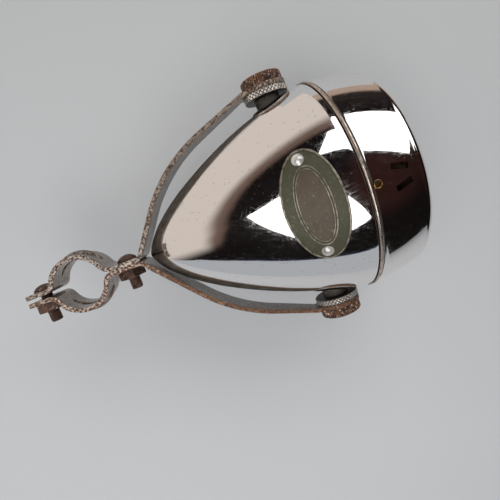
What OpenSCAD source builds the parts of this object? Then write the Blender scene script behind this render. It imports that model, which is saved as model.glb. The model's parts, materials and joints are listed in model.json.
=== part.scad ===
// Front lamp: a plated bullet lamp that tilts in a two-strap fork, which clamps on an upright tube.
// X runs along the beam, Y to the left and Z up the tube. The origin is the centre of the clamp's bore.

/* [Tube clamp] */
// Diameter of the tube that the clamp grips
tube_d = 22; // [20:0.5:26]
// Width of both straps, along the tube
strap_w = 20; // [17:0.5:21]
// Thickness of both straps
strap_t = 2; // [1.6:0.1:2.4]
// Concave radius of the flares between the clamp's round and its flats
flare_r = 2.5; // [2:0.1:3.5]
// Concave radius of the left strap's front flare, which is softer
soft_flare_r = 5; // [3:0.1:6]
// Gap between the two outer flats
clamp_gap = 1.6; // [1:0.1:3]
// Metal outside the centre of the outer bolt
strap_end = 4.4; // [3.8:0.1:6]
// Half of the angle that a stiffening bead runs through
bead_half_angle = 46; // [30:1:55]
// Radius of the bead's round back
bead_r = 3; // [2.6:0.1:4]
// Height of the bead above the strap
bead_h = 1.5; // [1:0.1:2]
// Metal between the bead's back and its groove
bead_wall = 1.4; // [1:0.1:1.8]

/* [Clamp bolts] */
// Diameter of the clamp bolts
bolt_d = 5.5; // [4:0.5:6]
// Diameter of their slotted round heads
bolt_head_d = 9.2; // [8.5:0.1:9.6]
// Height of those heads
bolt_head_h = 2.8; // [2.2:0.1:3.4]
// Width of the screwdriver slots
bolt_slot_w = 1.1; // [0.8:0.1:1.6]
// Depth of the screwdriver slots
bolt_slot_depth = 1.2; // [0.8:0.1:1.5]
// Width of the square nuts across their flats
nut_w = 9; // [8:0.1:10]
// Height of the square nuts
nut_h = 4.5; // [3.5:0.1:5.5]
// Turn of the inner nut out of square
nut_turn = 28; // [0:1:44]
// Length of bolt beyond the nut
bolt_tail = 5.5; // [2:0.1:8]
// Space round a bolt in its strap holes
bolt_play = 0.3; // [0.2:0.05:0.5]

/* [Fork arms] */
// Angle at which the arms leave the beam axis, as the mean of both
arm_splay = 52; // [49:1:53]
// Angle by which the left arm opens wider than that mean, and the right arm less wide
arm_bias = 3; // [0:0.5:3]
// Angle at which the arms reach their pads
arm_slope = 22; // [20:1:28]
// Radius of the arms' long bow, at mid thickness
bow_r = 75; // [40:1:80]
// Width to which the arms narrow at their pads
arm_end_w = 10; // [9:0.5:14]
// Inside radius of the bend at each arm's root
root_bend_r = 2; // [1.5:0.1:4]
// Inside radius of the bend at each pad
pad_bend_r = 3; // [2:0.1:6]

/* [Body] */
// Diameter of the body at the seam
body_d = 98; // [90:1:106]
// Length of the body from its tail to the seam
body_len = 90.2; // [84:0.2:100]
// Fullness of the body's flank
flank_power = 1.4; // [1.3:0.02:1.6]
// Bluntness of the body's nose
nose_power = 0.68; // [0.6:0.02:0.76]
// Thickness of the body's sheet
body_wall = 1; // [0.8:0.1:1.4]
// Distance from the point where the arms part to the tail
tail_gap = 3.8; // [3:0.1:8]
// Length of the collar that the bezel slides over
spigot_len = 9; // [7:0.5:12]
// Play between that collar and the bezel
spigot_play = 0.3; // [0.2:0.05:0.5]

/* [Pivots] */
// Distance of the tilt axis behind the seam
pivot_back = 13.4; // [12.5:0.1:18]
// Diameter of the knurled collars
collar_d = 21; // [20:0.1:22]
// Thickness of the knurled collars
collar_t = 3; // [2.5:0.1:5]
// Least space between a collar and the body
collar_gap = 0.6; // [0.4:0.1:1.2]
// Diameter of the thumb screws' heads
thumb_d = 19.5; // [17:0.1:20]
// Height of the thumb screws' heads
thumb_h = 4.5; // [3.5:0.1:6]
// Diameter of the thumb screws' shanks
pivot_d = 7.8; // [6:0.1:8.4]
// Play between a thumb screw and its threaded boss
thread_play = 0.1; // [0.05:0.01:0.2]
// Play between a thumb screw and what it passes through
pivot_play = 0.3; // [0.2:0.05:0.5]
// Space between flat faces that turn on each other
face_gap = 0.1; // [0.05:0.05:0.2]
// Diameter of a boss where it comes through the body
boss_neck_d = 12; // [11:0.1:14]
// Diameter of a boss's foot inside the body
boss_foot_d = 18; // [16:0.1:20]
// Depth of a boss below the body's outer face
boss_depth = 9; // [6:0.1:10]
// Number of ridges round a knurl
knurl_count = 54; // [36:2:72]
// Depth of a knurl
knurl_depth = 0.45; // [0.2:0.05:0.6]

/* [Nameplate] */
// Length of the bare oval plate, round the body
plate_span = 43.3; // [30:0.1:46]
// Width of the plate, along the beam
plate_w = 24; // [18:0.1:26]
// Thickness of the plate
plate_t = 0.6; // [0.4:0.1:1]
// Width of the plate's raised border
plate_border = 0.8; // [0.6:0.1:1.2]
// Height of that border
plate_lip = 0.35; // [0.2:0.05:0.6]
// Distance of the plate's centre behind the seam
plate_back = 19.2; // [18.2:0.1:26]
// Lean of the plate, screw and vents from the top
crown_lean = 3.3; // [0:0.1:15]
// Width of the band between the plate's edge and its inner line
band_w = 5; // [4:0.1:6]
// Width of the raised inner line
line_w = 0.7; // [0.4:0.1:1]
// Diameter of the rivets' domed heads
rivet_d = 4.8; // [3.5:0.1:5.4]
// Height of those heads
rivet_h = 1.1; // [0.6:0.1:1.6]
// Diameter of the rivets' shanks
rivet_shank_d = 2.4; // [1.6:0.1:3]

/* [Cable inlet] */
// Bore of the rubber grommet
cable_d = 3.5; // [2:0.1:5]
// Diameter of the grommet's flanges
grommet_d = 11; // [10:0.1:14]
// Thickness of a flange
grommet_flange_t = 1.6; // [1:0.1:2.4]
// Thickness of rubber round the bore
grommet_wall = 2; // [1.5:0.1:2.4]
// Distance of the inlet behind the seam
inlet_back = 31; // [28:0.5:45]

/* [Bezel] */
// Length of the bezel
bezel_len = 26.6; // [24:0.2:32]
// Fall of the bezel's radius along its side
bezel_drop = 2.9; // [1.5:0.1:4]
// Length of the bezel's rounded front corner
corner_len = 4.6; // [3.8:0.1:6]
// Width of that corner, across the beam
corner_w = 7.7; // [7:0.1:9]
// Thickness of the bezel's sheet
bezel_wall = 1; // [0.8:0.1:1.2]
// Radius of the rolled bead at the bezel's rear edge
rim_bead_r = 0.8; // [0.6:0.05:1]
// Gap between the body's edge and the bezel
seam_gap = 0.2; // [0.1:0.05:0.5]
// Distance of the rim screw in front of the seam
screw_front = 3.9; // [3.8:0.1:5]
// Diameter of the rim screw's head
screw_head_d = 3.6; // [3:0.1:4]
// Height of that head above the bezel
screw_head_h = 0.8; // [0.5:0.1:1.2]
// Diameter of the rim screw's shank
screw_d = 2.4; // [2:0.1:2.8]
// Length of the rim screw's shank
screw_len = 5; // [4:0.1:7]
// Length of the two vents
vent_len = 7; // [4:0.1:8]
// Width of the vents
vent_w = 2.3; // [1.5:0.1:3]
// Distance of the vents in front of the seam
vent_front = 13.9; // [13:0.1:16]
// Distance of each vent from the middle line between them
vent_offset = 3.5; // [3:0.1:5]
// Angle of the vents to the beam
vent_turn = 14; // [0:1:25]

/* [Lens and reflector] */
// Thickness of the lens
lens_t = 3; // [2.5:0.1:3.6]
// Height of the lens's domed middle
lens_dome = 2.4; // [1:0.1:3]
// Thickness of the rubber ring in front of the lens
gasket_t = 0.9; // [0.6:0.1:1.4]
// Focal length of the reflector
focal_len = 12; // [11:0.1:14]
// Thickness of the reflector's sheet
reflector_wall = 0.8; // [0.6:0.1:1]
// Length of the reflector's neck
neck_len = 9; // [7:0.5:11]
// Thickness of the spring ring's wire
ring_wire_d = 1.8; // [1.4:0.1:2]
// Opening in the spring ring
ring_opening = 30; // [15:1:60]

/* [Bulb and holder] */
// Diameter of the bulb's globe
globe_d = 11.2; // [9:0.1:13]
// Diameter of the bulb's screw cap
cap_d = 9.5; // [9:0.1:10]
// Length of the bulb's screw cap
cap_len = 10; // [8:0.1:11]
// Distance from the cap's front edge to the filament
light_front = 9; // [8:0.1:11]
// Play between the cap and the holder
cap_play = 0.3; // [0.2:0.05:0.4]
// Play between the holder and the reflector's neck
holder_play = 0.1; // [0.08:0.01:0.2]
// Thickness of the holder's tube
holder_wall = 2; // [1.4:0.1:2.6]
// Length of tube behind the insulator
holder_tail = 3; // [2:0.1:5]
// Thickness of the flange at the holder's rear end
holder_flange_t = 1.4; // [1:0.1:2]
// Thickness of the insulating disc
insulator_t = 1.6; // [1:0.1:2.4]
// Thickness of the contact blade
blade_t = 0.5; // [0.4:0.1:0.8]
// Width of the contact blade
blade_w = 4.4; // [4:0.1:5]
// Diameter of the terminal screw
terminal_d = 2; // [1.6:0.1:2.4]

/* [Hidden] */
$fn = 96;

// Colours
plated_colour = "gainsboro";
strap_colour = "rosybrown";
rust_colour = "saddlebrown";
nickel_colour = "lightgray";
enamel_colour = "darkolivegreen";
brass_colour = "goldenrod";
rubber_colour = "dimgray";
glass_colour = "lightcyan";
fibre_colour = "sienna";

// How far a cut runs past a face, the step to which places are rounded, and the length of a cut through sheet
past = 1;
step = 0.01;
cut_h = 6;
function tidy(v) = round(v / step) * step;

// Tube clamp: the strap's mid line, its flares and the places of the bolts
tube_r = tube_d / 2;
round_r = tube_r + strap_t / 2;
front_y = strap_t / 2;
outer_y = (clamp_gap + strap_t) / 2;
tight_r = flare_r + strap_t / 2;
soft_r = soft_flare_r + strap_t / 2;
function flare_x(y, r) = sqrt(pow(round_r + r, 2) - pow(y + r, 2));
function flare_angle(y, r) = atan2(y + r, flare_x(y, r));
head_seat = 0.1;
nut_reach = nut_w / 2 * (cos(nut_turn) + sin(nut_turn));
inner_bolt_x = tidy(max(
  flare_x(front_y, soft_r) + bolt_head_d / 2,
  flare_x(front_y, tight_r) + nut_reach
) + head_seat);
outer_bolt_x = -tidy(flare_x(outer_y, tight_r) + max(nut_w, bolt_head_d) / 2 + head_seat);
bead_centre_r = tube_r + strap_t + bead_h - bead_r;
groove_r = bead_r - bead_wall;
fade_depth = 0.15;
nut_play = 0.1;
tip_chamfer = 0.6;
bore_stock = 0.3;
flare_steps = 6;
round_steps = 20;

// Fork arms: three corners, each rounded by a bend
root_r = root_bend_r + strap_t / 2;
root_x = tidy(inner_bolt_x + nut_reach + head_seat + root_r * tan(arm_splay / 2));
bend_steps = 6;
bow_steps = 12;
pad_over = 0.6;
pad_d = strap_w + pad_over;

// Body
tail_x = root_x + tail_gap;
seam_x = tail_x + body_len;
pivot_x = seam_x - pivot_back;
bezel_stand = 0.1;
profile_steps = 26;
profile_gather = 1.7;
function bullet_r(x, r, len) =
  r * pow(max(0, 1 - pow(max(0, seam_x - x) / len, flank_power)), nose_power);
function body_r(x) = bullet_r(x, body_d / 2, body_len);
function inner_r(x) = bullet_r(x, body_d / 2 - body_wall, body_len - body_wall);
function station(i, from, to) = from + (to - from) * pow(i / profile_steps, profile_gather);
slope_step = 0.5;
function body_slope(x) = atan((body_r(x + slope_step) - body_r(x - slope_step)) / (2 * slope_step));

// Pivots: distances of the faces from the middle of the lamp
collar_y = tidy(body_r(pivot_x + collar_d / 2) + collar_gap);
pad_in_y = collar_y + collar_t + face_gap;
thumb_y = pad_in_y + strap_t + face_gap;
boss_y = tidy(body_r(pivot_x) - boss_depth);
boss_play = 0.05;
shank_end_gap = 1;
shank_root = 1;
dish_depth = 0.8;
dish_share = 0.6;
dish_d = dish_share * thumb_d;

// Arms, from the clamp to the pads
pad_r = pad_bend_r + strap_t / 2;
arm_root = [root_x, front_y];
arm_pad = [
  tidy(pivot_x - max(collar_d, pad_d) / 2 - pad_r * tan(arm_slope / 2) - head_seat),
  pad_in_y + strap_t / 2
];
function way(a) = [cos(a), sin(a)];
function cross_2d(p, q) = p.x * q.y - p.y * q.x;
function arm_knee(splay) = arm_root + way(splay)
  * cross_2d(arm_pad - arm_root, way(arm_slope)) / cross_2d(way(splay), way(arm_slope));
taper_x = root_x + (arm_pad.x - root_x) / 3;

// Nameplate and rivets: the rivets stand between the border and the inner line
plate_x = seam_x - plate_back;
plate_points = 48;
cover_steps = 4;
cover_past = 2;
rivet_space = 0.25;
rivet_inset = plate_border + rivet_space + rivet_d / 2;
line_inset = rivet_inset + rivet_d / 2 + rivet_space;
line_h = 0.25;
rivet_lean = asin((plate_span / 2 - rivet_inset) / (body_r(plate_x) + plate_t));
rivet_foot_h = 0.8;
rivet_foot_d = 4;
rivet_play = 0.05;

// Cable inlet: the groove takes the body's sheet and its curve
inlet_x = seam_x - inlet_back;
grommet_neck_r = cable_d / 2 + grommet_wall;
groove_play = 0.2;
grommet_groove = body_wall + pow(grommet_d / 2, 2) / body_d + groove_play;
grommet_play = 0.1;

// Bezel: a side that draws in, then an elliptical corner down to the lens opening
bezel_x = seam_x + seam_gap;
bezel_r = body_d / 2 + bezel_stand;
front_x = bezel_x + bezel_len;
corner_x = front_x - corner_len;
lens_open_r = bezel_r - bezel_drop - corner_w;
side_steps = 8;
corner_steps = 9;
function side_r(x) = bezel_r - bezel_drop * pow((x - bezel_x) / (corner_x - bezel_x), 2);
spigot_r = tidy(side_r(seam_x + spigot_len) - bezel_wall - spigot_play);
screw_x = seam_x + screw_front;
screw_seat_r = side_r(screw_x - screw_head_d / 2);
screw_play = 0.15;
notch_play = 0.35;
slot_w = 0.7;
slot_depth = 0.5;
vent_x = seam_x + vent_front;

// Lens stack, from the front to the rear
gasket_inset = 0.7;
gasket_share = 0.53;
gasket_in_r = lens_open_r + gasket_inset;
gasket_out_r = lens_open_r + gasket_share * corner_w;
lens_margin = 0.4;
lens_r = gasket_out_r + lens_margin;
seat_play = 0.05;
gasket_x = tidy(corner_x + (corner_len - bezel_wall)
  * sqrt(1 - pow((gasket_out_r - lens_open_r) / (corner_w - bezel_wall), 2)) - seat_play);
lens_front_x = gasket_x - gasket_t;
lens_rear_x = lens_front_x - lens_t;
dome_inset = 0.5;
dome_steps = 12;
dome_r = lens_open_r - dome_inset;
dome_ball_r = (pow(dome_r, 2) + pow(lens_dome, 2)) / (2 * lens_dome);

// Reflector: a parabola with its focus at the filament
flange_play = 0.4;
ring_play = 0.15;
flange_r = tidy(side_r(lens_rear_x) - bezel_wall - flange_play);
mouth_inset = 1;
mouth_r = lens_r - mouth_inset;
mouth_x = lens_rear_x - reflector_wall;
vertex_x = tidy(mouth_x - pow(mouth_r, 2) / (4 * focal_len));
focus_x = vertex_x + focal_len;
bowl_steps = 14;
ring_r = tidy(side_r(mouth_x - ring_wire_d / 2) - bezel_wall - ring_wire_d / 2 - ring_play);

// Bulb and holder
cap_front_x = focus_x - light_front;
cap_rear_x = cap_front_x - cap_len;
holder_bore_r = cap_d / 2 + cap_play;
holder_r = holder_bore_r + holder_wall;
neck_r = holder_r + holder_play;
neck_front_x = vertex_x + pow(neck_r, 2) / (4 * focal_len);
cap_wall = 0.4;
glass_wall = 0.5;
glass_play = 0.1;
stem_depth = 5;
cone_h = 1;
tip_h = 0.8;
tip_d = 3.4;
tip_gap = 0.3;
stud_h = 0.8;
stud_d = 3.6;
stud_shank_d = 2;
insulator_x = cap_rear_x - cone_h - tip_h - tip_gap - stud_h - insulator_t;
holder_rear_x = insulator_x - holder_tail;
blade_inset = 1.2;
blade_drop = holder_bore_r - blade_inset;
blade_tail = 5;
terminal_x = holder_rear_x - holder_flange_t - blade_tail / 2;
terminal_head_d = 3.8;
terminal_head_h = 1.1;
terminal_nut_w = 4;
terminal_nut_h = 1.5;
wire_d = 0.5;
wire_spread = 1.6;
filament_d = 0.6;
support_d = 2.2;

function reversed(list) = [for (i = [len(list) - 1 : -1 : 0]) list[i]];

// Turns a profile of [radius, x] points about the beam axis
module spun() {
  rotate([0, 90, 0])
    rotate_extrude()
      children();
}

// A cylinder along the beam from one x to another
module bar(r, from, to) {
  translate([from, 0, 0])
    rotate([0, 90, 0])
      cylinder(r = r, h = to - from);
}

// Places things on one pivot, with their Z pointing away from the lamp
module at_pivot(side) {
  translate([pivot_x, 0, 0])
    mirror([0, side < 0 ? 1 : 0, 0])
      rotate([-90, 0, 0])
        children();
}

// Places things on the skin, with their Z square to it: lean is measured from the top to the left
module on_skin(x, lean, r, slope) {
  rotate([-lean, 0, 0])
    translate([x, 0, r])
      rotate([0, -slope, 0])
        children();
}

// A domed head that stands on Z = 0
module dome(d, h) {
  ball_r = (pow(d / 2, 2) + pow(h, 2)) / (2 * h);
  intersection() {
    cylinder(d = d, h = h);
    translate([0, 0, h - ball_r])
      sphere(r = ball_r);
  }
}

// A straight-knurled disc that stands on Z = 0
module knurled(d, h) {
  linear_extrude(h)
    polygon([
      for (i = [0 : 2 * knurl_count - 1])
        (d / 2 - (i % 2) * knurl_depth) * way(180 * i / knurl_count)
    ]);
}

// Points of a strap's mid line, each as [x, y, heading, bore stock]: a round stretch, then a rounded corner
function arc_line(centre, r, from, to, steps, skip = 0, stock = 0) = [
  for (i = [skip : steps - skip])
    let (a = from + (to - from) * i / steps, p = centre + r * way(a))
      [p.x, p.y, a + 90 * sign(to - from), stock]
];
function corner_line(corner, a, b, r, steps) =
  let (side = sign(b - a), start = corner - r * tan(abs(b - a) / 2) * way(a))
    arc_line(start + side * r * way(a + 90), r, a - side * 90, b - side * 90, steps);

// The mid line from the outer end: flat, flare, round, flare, flat, bend, long bow, bend and pad
function strap_line(front_r, splay) =
  let (
    front_a = flare_angle(front_y, front_r),
    outer_a = flare_angle(outer_y, tight_r),
    front_centre = [flare_x(front_y, front_r), front_y + front_r],
    outer_centre = [-flare_x(outer_y, tight_r), outer_y + tight_r]
  )
    concat(
      [[outer_bolt_x - strap_end, outer_y, 0, 0]],
      arc_line(outer_centre, tight_r, 270, 360 - outer_a, flare_steps),
      arc_line([0, 0], round_r, 180 - outer_a, front_a, round_steps, 1, bore_stock),
      arc_line(front_centre, front_r, 180 + front_a, 270, flare_steps),
      corner_line(arm_root, 0, splay, root_r, bend_steps),
      corner_line(arm_knee(splay), splay, arm_slope, bow_r, bow_steps),
      corner_line(arm_pad, arm_slope, 0, pad_r, bend_steps),
      [[pivot_x, arm_pad.y, 0, 0]]
    );

// A point beside the mid line, on its outer side
function beside(p, offset) = [p.x, p.y] + offset * way(p[2] + 90);

// What is sheared off above an arm, which narrows over the last two thirds of its way to the pad
module shear_off() {
  rotate([90, 0, 0])
    linear_extrude(2 * thumb_y, center = true)
      polygon([
        [taper_x, strap_w / 2],
        [arm_pad.x, arm_end_w / 2],
        [pivot_x + past, arm_end_w / 2],
        [pivot_x + past, strap_w],
        [taper_x, strap_w]
      ]);
}

// The bent strap with its round pad, before it is drilled
module strap_blank(front_r, splay) {
  line = strap_line(front_r, splay);
  difference() {
    linear_extrude(strap_w, center = true)
      polygon(concat(
        [for (p = line) beside(p, strap_t / 2)],
        reversed([for (p = line) beside(p, -strap_t / 2 - p[3])])
      ));
    cylinder(r = tube_r, h = strap_w + past, center = true);
    shear_off();
    mirror([0, 0, 1])
      shear_off();
  }
  at_pivot(1)
    translate([0, 0, pad_in_y])
      cylinder(d = pad_d, h = strap_t);
}

// A round bar bent about the bore, up to an angle on each side of the bead's middle
module bent_bar(r, half_angle) {
  rotate([0, 0, 90 - half_angle])
    rotate_extrude(angle = 2 * half_angle)
      translate([bead_centre_r, 0])
        circle(r = r);
}

// The back of the bead, standing out of the clamp's round, with ball ends
module bead_back() {
  difference() {
    union() {
      bent_bar(bead_r, bead_half_angle);
      for (end = [-1, 1])
        rotate([0, 0, 90 + end * bead_half_angle])
          translate([bead_centre_r, 0, 0])
            sphere(r = bead_r);
    }
    cylinder(r = round_r, h = 2 * bead_r + past, center = true);
  }
}

// The bead's groove in the bore, and the shallow hollow in which it runs out on both sides
module bead_groove() {
  bent_bar(groove_r, bead_half_angle);
  cylinder(r = tube_r + fade_depth, h = groove_r, center = true);
}

// Both bolt holes and the pivot hole
module strap_holes() {
  for (x = [inner_bolt_x, outer_bolt_x])
    translate([x, outer_y + strap_t, 0])
      rotate([90, 0, 0])
        cylinder(d = bolt_d + 2 * bolt_play, h = 2 * (outer_y + strap_t));
  at_pivot(1)
    translate([0, 0, pad_in_y - past])
      cylinder(d = pivot_d + 2 * pivot_play, h = strap_t + 2 * past);
}

module strap(front_r, splay) {
  difference() {
    union() {
      strap_blank(front_r, splay);
      bead_back();
    }
    bead_groove();
    strap_holes();
  }
}

module left_strap() {
  color(strap_colour)
    strap(soft_r, arm_splay + arm_bias);
}

module right_strap() {
  color(strap_colour)
    mirror([0, 1, 0])
      strap(tight_r, arm_splay - arm_bias);
}

// A slotted bolt along Y, with its head on the left strap and its tail past the nut
module clamp_bolt(x, seat) {
  length = 2 * seat + nut_h + bolt_tail;
  translate([x, seat, 0])
    rotate([-90, 0, 0]) {
      difference() {
        dome(bolt_head_d, bolt_head_h);
        translate([0, 0, bolt_head_h - bolt_slot_depth + past])
          cube([bolt_head_d, bolt_slot_w, 2 * past], center = true);
      }
      translate([0, 0, -length + tip_chamfer])
        cylinder(d = bolt_d, h = length - tip_chamfer);
      translate([0, 0, -length])
        cylinder(d1 = bolt_d - 2 * tip_chamfer, d2 = bolt_d, h = tip_chamfer);
    }
}

// A square nut under the right strap
module clamp_nut(x, seat, angle) {
  translate([x, -seat, 0])
    rotate([90, angle, 0])
      difference() {
        translate([-nut_w / 2, -nut_w / 2, 0])
          cube([nut_w, nut_w, nut_h]);
        translate([0, 0, -past])
          cylinder(d = bolt_d + 2 * nut_play, h = nut_h + 2 * past);
      }
}

module inner_clamp_bolt() {
  color(rust_colour)
    clamp_bolt(inner_bolt_x, front_y + strap_t / 2);
}

module outer_clamp_bolt() {
  color(rust_colour)
    clamp_bolt(outer_bolt_x, outer_y + strap_t / 2);
}

module inner_clamp_nut() {
  color(rust_colour)
    clamp_nut(inner_bolt_x, front_y + strap_t / 2, nut_turn);
}

module outer_clamp_nut() {
  color(rust_colour)
    clamp_nut(outer_bolt_x, outer_y + strap_t / 2, 0);
}

// A knurled head outside the pad, on a shank that screws into the boss
module thumb_screw(side) {
  shank_y = boss_y + shank_end_gap;
  at_pivot(side) {
    difference() {
      translate([0, 0, thumb_y])
        knurled(thumb_d, thumb_h);
      translate([0, 0, thumb_y + thumb_h - dish_depth])
        cylinder(d = dish_d, h = dish_depth + past);
    }
    translate([0, 0, shank_y])
      cylinder(d = pivot_d, h = thumb_y - shank_y + shank_root);
  }
}

module left_thumb_screw() {
  color(rust_colour)
    thumb_screw(1);
}

module right_thumb_screw() {
  color(rust_colour)
    thumb_screw(-1);
}

// A knurled collar between the body's boss and the pad
module collar(side) {
  at_pivot(side)
    translate([0, 0, collar_y])
      difference() {
        knurled(collar_d, collar_t);
        translate([0, 0, -past])
          cylinder(d = pivot_d + 2 * pivot_play, h = collar_t + 2 * past);
      }
}

module left_collar() {
  color(nickel_colour)
    collar(1);
}

module right_collar() {
  color(nickel_colour)
    collar(-1);
}

// The space inside the body's sheet, without the collar for the bezel
module body_inside() {
  spun()
    polygon([
      for (i = [0 : profile_steps])
        let (x = station(i, tail_x + body_wall, seam_x - body_wall))
          [inner_r(x), x],
      [0, seam_x - body_wall]
    ]);
}

// A threaded boss: its foot fits the inside of the sheet and its neck comes through it
module pivot_boss(side) {
  neck_end = collar_y - face_gap;
  difference() {
    union() {
      intersection() {
        at_pivot(side)
          translate([0, 0, boss_y])
            cylinder(d = boss_foot_d, h = boss_depth);
        body_inside();
      }
      at_pivot(side)
        translate([0, 0, boss_y])
          cylinder(d = boss_neck_d, h = neck_end - boss_y);
    }
    at_pivot(side)
      translate([0, 0, boss_y - past])
        cylinder(d = pivot_d + 2 * thread_play, h = neck_end - boss_y + 2 * past);
  }
}

module left_pivot_boss() {
  color(nickel_colour)
    pivot_boss(1);
}

module right_pivot_boss() {
  color(nickel_colour)
    pivot_boss(-1);
}

// The bullet-shaped sheet, its stepped collar, and every hole through it
module body_shell() {
  color(plated_colour)
    difference() {
      spun()
        polygon(concat(
          [for (i = [0 : profile_steps]) let (x = station(i, tail_x, seam_x)) [body_r(x), x]],
          [
            [spigot_r, seam_x],
            [spigot_r, seam_x + spigot_len],
            [spigot_r - body_wall, seam_x + spigot_len],
            [spigot_r - body_wall, seam_x - body_wall]
          ],
          [
            for (i = [profile_steps : -1 : 0])
              let (x = station(i, tail_x + body_wall, seam_x - body_wall))
                [inner_r(x), x]
          ]
        ));
      for (side = [-1, 1])
        at_pivot(side)
          translate([0, 0, boss_y])
            cylinder(d = boss_neck_d + 2 * boss_play, h = boss_depth + past);
      for (side = [-1, 1])
        on_rivet(side)
          cylinder(d = rivet_shank_d + 2 * rivet_play, h = cut_h, center = true);
      on_inlet()
        cylinder(r = grommet_neck_r + grommet_play, h = cut_h, center = true);
      rim_notch();
    }
}

// The open notch in the collar that lets the rim screw slide in from the front
module rim_notch() {
  notch_w = screw_d + 2 * notch_play;
  on_skin(screw_x, -crown_lean, spigot_r, 0) {
    cylinder(d = notch_w, h = cut_h, center = true);
    translate([0, -notch_w / 2, -cut_h / 2])
      cube([spigot_len, notch_w, cut_h]);
  }
}

// Places things square to the body where the plate, a rivet or the inlet is
module on_plate() {
  on_skin(plate_x, -crown_lean, body_r(plate_x), body_slope(plate_x))
    children();
}

module on_rivet(side) {
  on_skin(plate_x, -crown_lean + side * rivet_lean, body_r(plate_x), body_slope(plate_x))
    children();
}

module on_inlet() {
  on_skin(inlet_x, 180, body_r(inlet_x), body_slope(inlet_x))
    children();
}

// An oval block square to the body, drawn in across its width and at its ends
module oval_block(side_inset, end_inset) {
  on_plate()
    translate([0, 0, -plate_span / 2])
      linear_extrude(plate_span)
        polygon([
          for (i = [0 : plate_points - 1])
            let (a = 360 * i / plate_points)
              [(plate_w / 2 - side_inset) * cos(a), (plate_span / 2 - end_inset) * sin(a)]
        ]);
}

// A skin of even thickness over the part of the body that the plate covers
module body_cover(thickness) {
  reach = plate_w / 2 + cover_past;
  places = [for (i = [-cover_steps : cover_steps]) plate_x + reach * i / cover_steps];
  spun()
    polygon(concat(
      [for (x = places) [body_r(min(x, seam_x)), x]],
      reversed([for (x = places) [body_r(min(x, seam_x)) + thickness, x]])
    ));
}

// An oval ring that stands on the body, of a given width
module oval_ring(thickness, side_inset, end_inset, width) {
  difference() {
    intersection() {
      body_cover(thickness);
      oval_block(side_inset, end_inset);
    }
    oval_block(side_inset + width, end_inset + width);
  }
}

// The bare oval plate with its raised border and one raised inner line
module nameplate() {
  color(enamel_colour)
    difference() {
      union() {
        intersection() {
          body_cover(plate_t);
          oval_block(0, 0);
        }
        oval_ring(plate_t + plate_lip, 0, 0, plate_border);
        oval_ring(plate_t + line_h, band_w, line_inset, line_w);
      }
      for (side = [-1, 1])
        on_rivet(side)
          cylinder(d = rivet_shank_d + 2 * rivet_play, h = cut_h, center = true);
    }
}

// Two domed rivets through the plate and the body
module nameplate_rivets() {
  color(plated_colour)
    for (side = [-1, 1])
      on_rivet(side) {
        translate([0, 0, plate_t])
          dome(rivet_d, rivet_h);
        translate([0, 0, -body_wall - rivet_foot_h])
          cylinder(d = rivet_shank_d, h = body_wall + rivet_foot_h + plate_t);
        translate([0, 0, -body_wall - rivet_foot_h])
          cylinder(d = rivet_foot_d, h = rivet_foot_h);
      }
}

// A rubber grommet with one flange on each side of the sheet
module cable_grommet() {
  full_h = grommet_groove + 2 * grommet_flange_t;
  color(rubber_colour)
    on_inlet()
      translate([0, 0, -grommet_groove - grommet_flange_t])
        difference() {
          union() {
            cylinder(d = grommet_d, h = grommet_flange_t);
            cylinder(r = grommet_neck_r, h = full_h);
            translate([0, 0, grommet_flange_t + grommet_groove])
              cylinder(d = grommet_d, h = grommet_flange_t);
          }
          translate([0, 0, -past])
            cylinder(d = cable_d, h = full_h + 2 * past);
        }
}

// Points along the bezel's side and round its corner, at a depth below its outer face
function bezel_side(depth) = [
  for (i = [0 : side_steps])
    let (x = bezel_x + (corner_x - bezel_x) * i / side_steps)
      [side_r(x) - depth, x]
];
function bezel_corner(depth) = [
  for (i = [1 : corner_steps])
    let (a = 90 * i / corner_steps)
      [lens_open_r + (corner_w - depth) * cos(a), corner_x + (corner_len - depth) * sin(a)]
];

// The bezel with its rolled rear bead, screw hole and two vents
module bezel() {
  color(plated_colour)
    difference() {
      spun() {
        polygon(concat(
          bezel_side(0), bezel_corner(0),
          reversed(bezel_corner(bezel_wall)), reversed(bezel_side(bezel_wall))
        ));
        translate([bezel_r - bezel_wall + rim_bead_r, bezel_x + rim_bead_r])
          circle(r = rim_bead_r);
      }
      on_skin(screw_x, -crown_lean, bezel_r, 0)
        cylinder(d = screw_d + 2 * screw_play, h = cut_h, center = true);
      for (side = [-1, 1])
        on_skin(vent_x, -crown_lean, side_r(vent_x), 0)
          translate([0, side * vent_offset, 0])
            rotate([0, 0, -side * vent_turn])
              cube([vent_len, vent_w, cut_h], center = true);
    }
}

// The slotted screw that locks the bezel on the body
module rim_screw() {
  color(brass_colour)
    on_skin(screw_x, -crown_lean, screw_seat_r, 0) {
      difference() {
        dome(screw_head_d, screw_head_h);
        translate([0, 0, screw_head_h - slot_depth + past])
          cube([screw_head_d, slot_w, 2 * past], center = true);
      }
      translate([0, 0, -screw_len])
        cylinder(d = screw_d, h = screw_len);
    }
}

// Points of a domed face, from its edge at x to its middle
function dome_face(x) = [
  for (i = [0 : dome_steps])
    let (r = dome_r * (1 - i / dome_steps))
      [r, x + lens_dome - dome_ball_r + sqrt(pow(dome_ball_r, 2) - pow(r, 2))]
];

// The lens: a flat rim and a domed middle of even thickness
module lens() {
  color(glass_colour)
    spun()
      polygon(concat(
        [[lens_r, lens_rear_x], [lens_r, lens_front_x]],
        dome_face(lens_front_x),
        reversed(dome_face(lens_rear_x))
      ));
}

module lens_gasket() {
  color(rubber_colour)
    difference() {
      bar(gasket_out_r, lens_front_x, gasket_x);
      bar(gasket_in_r, lens_front_x - past, gasket_x + past);
    }
}

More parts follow.
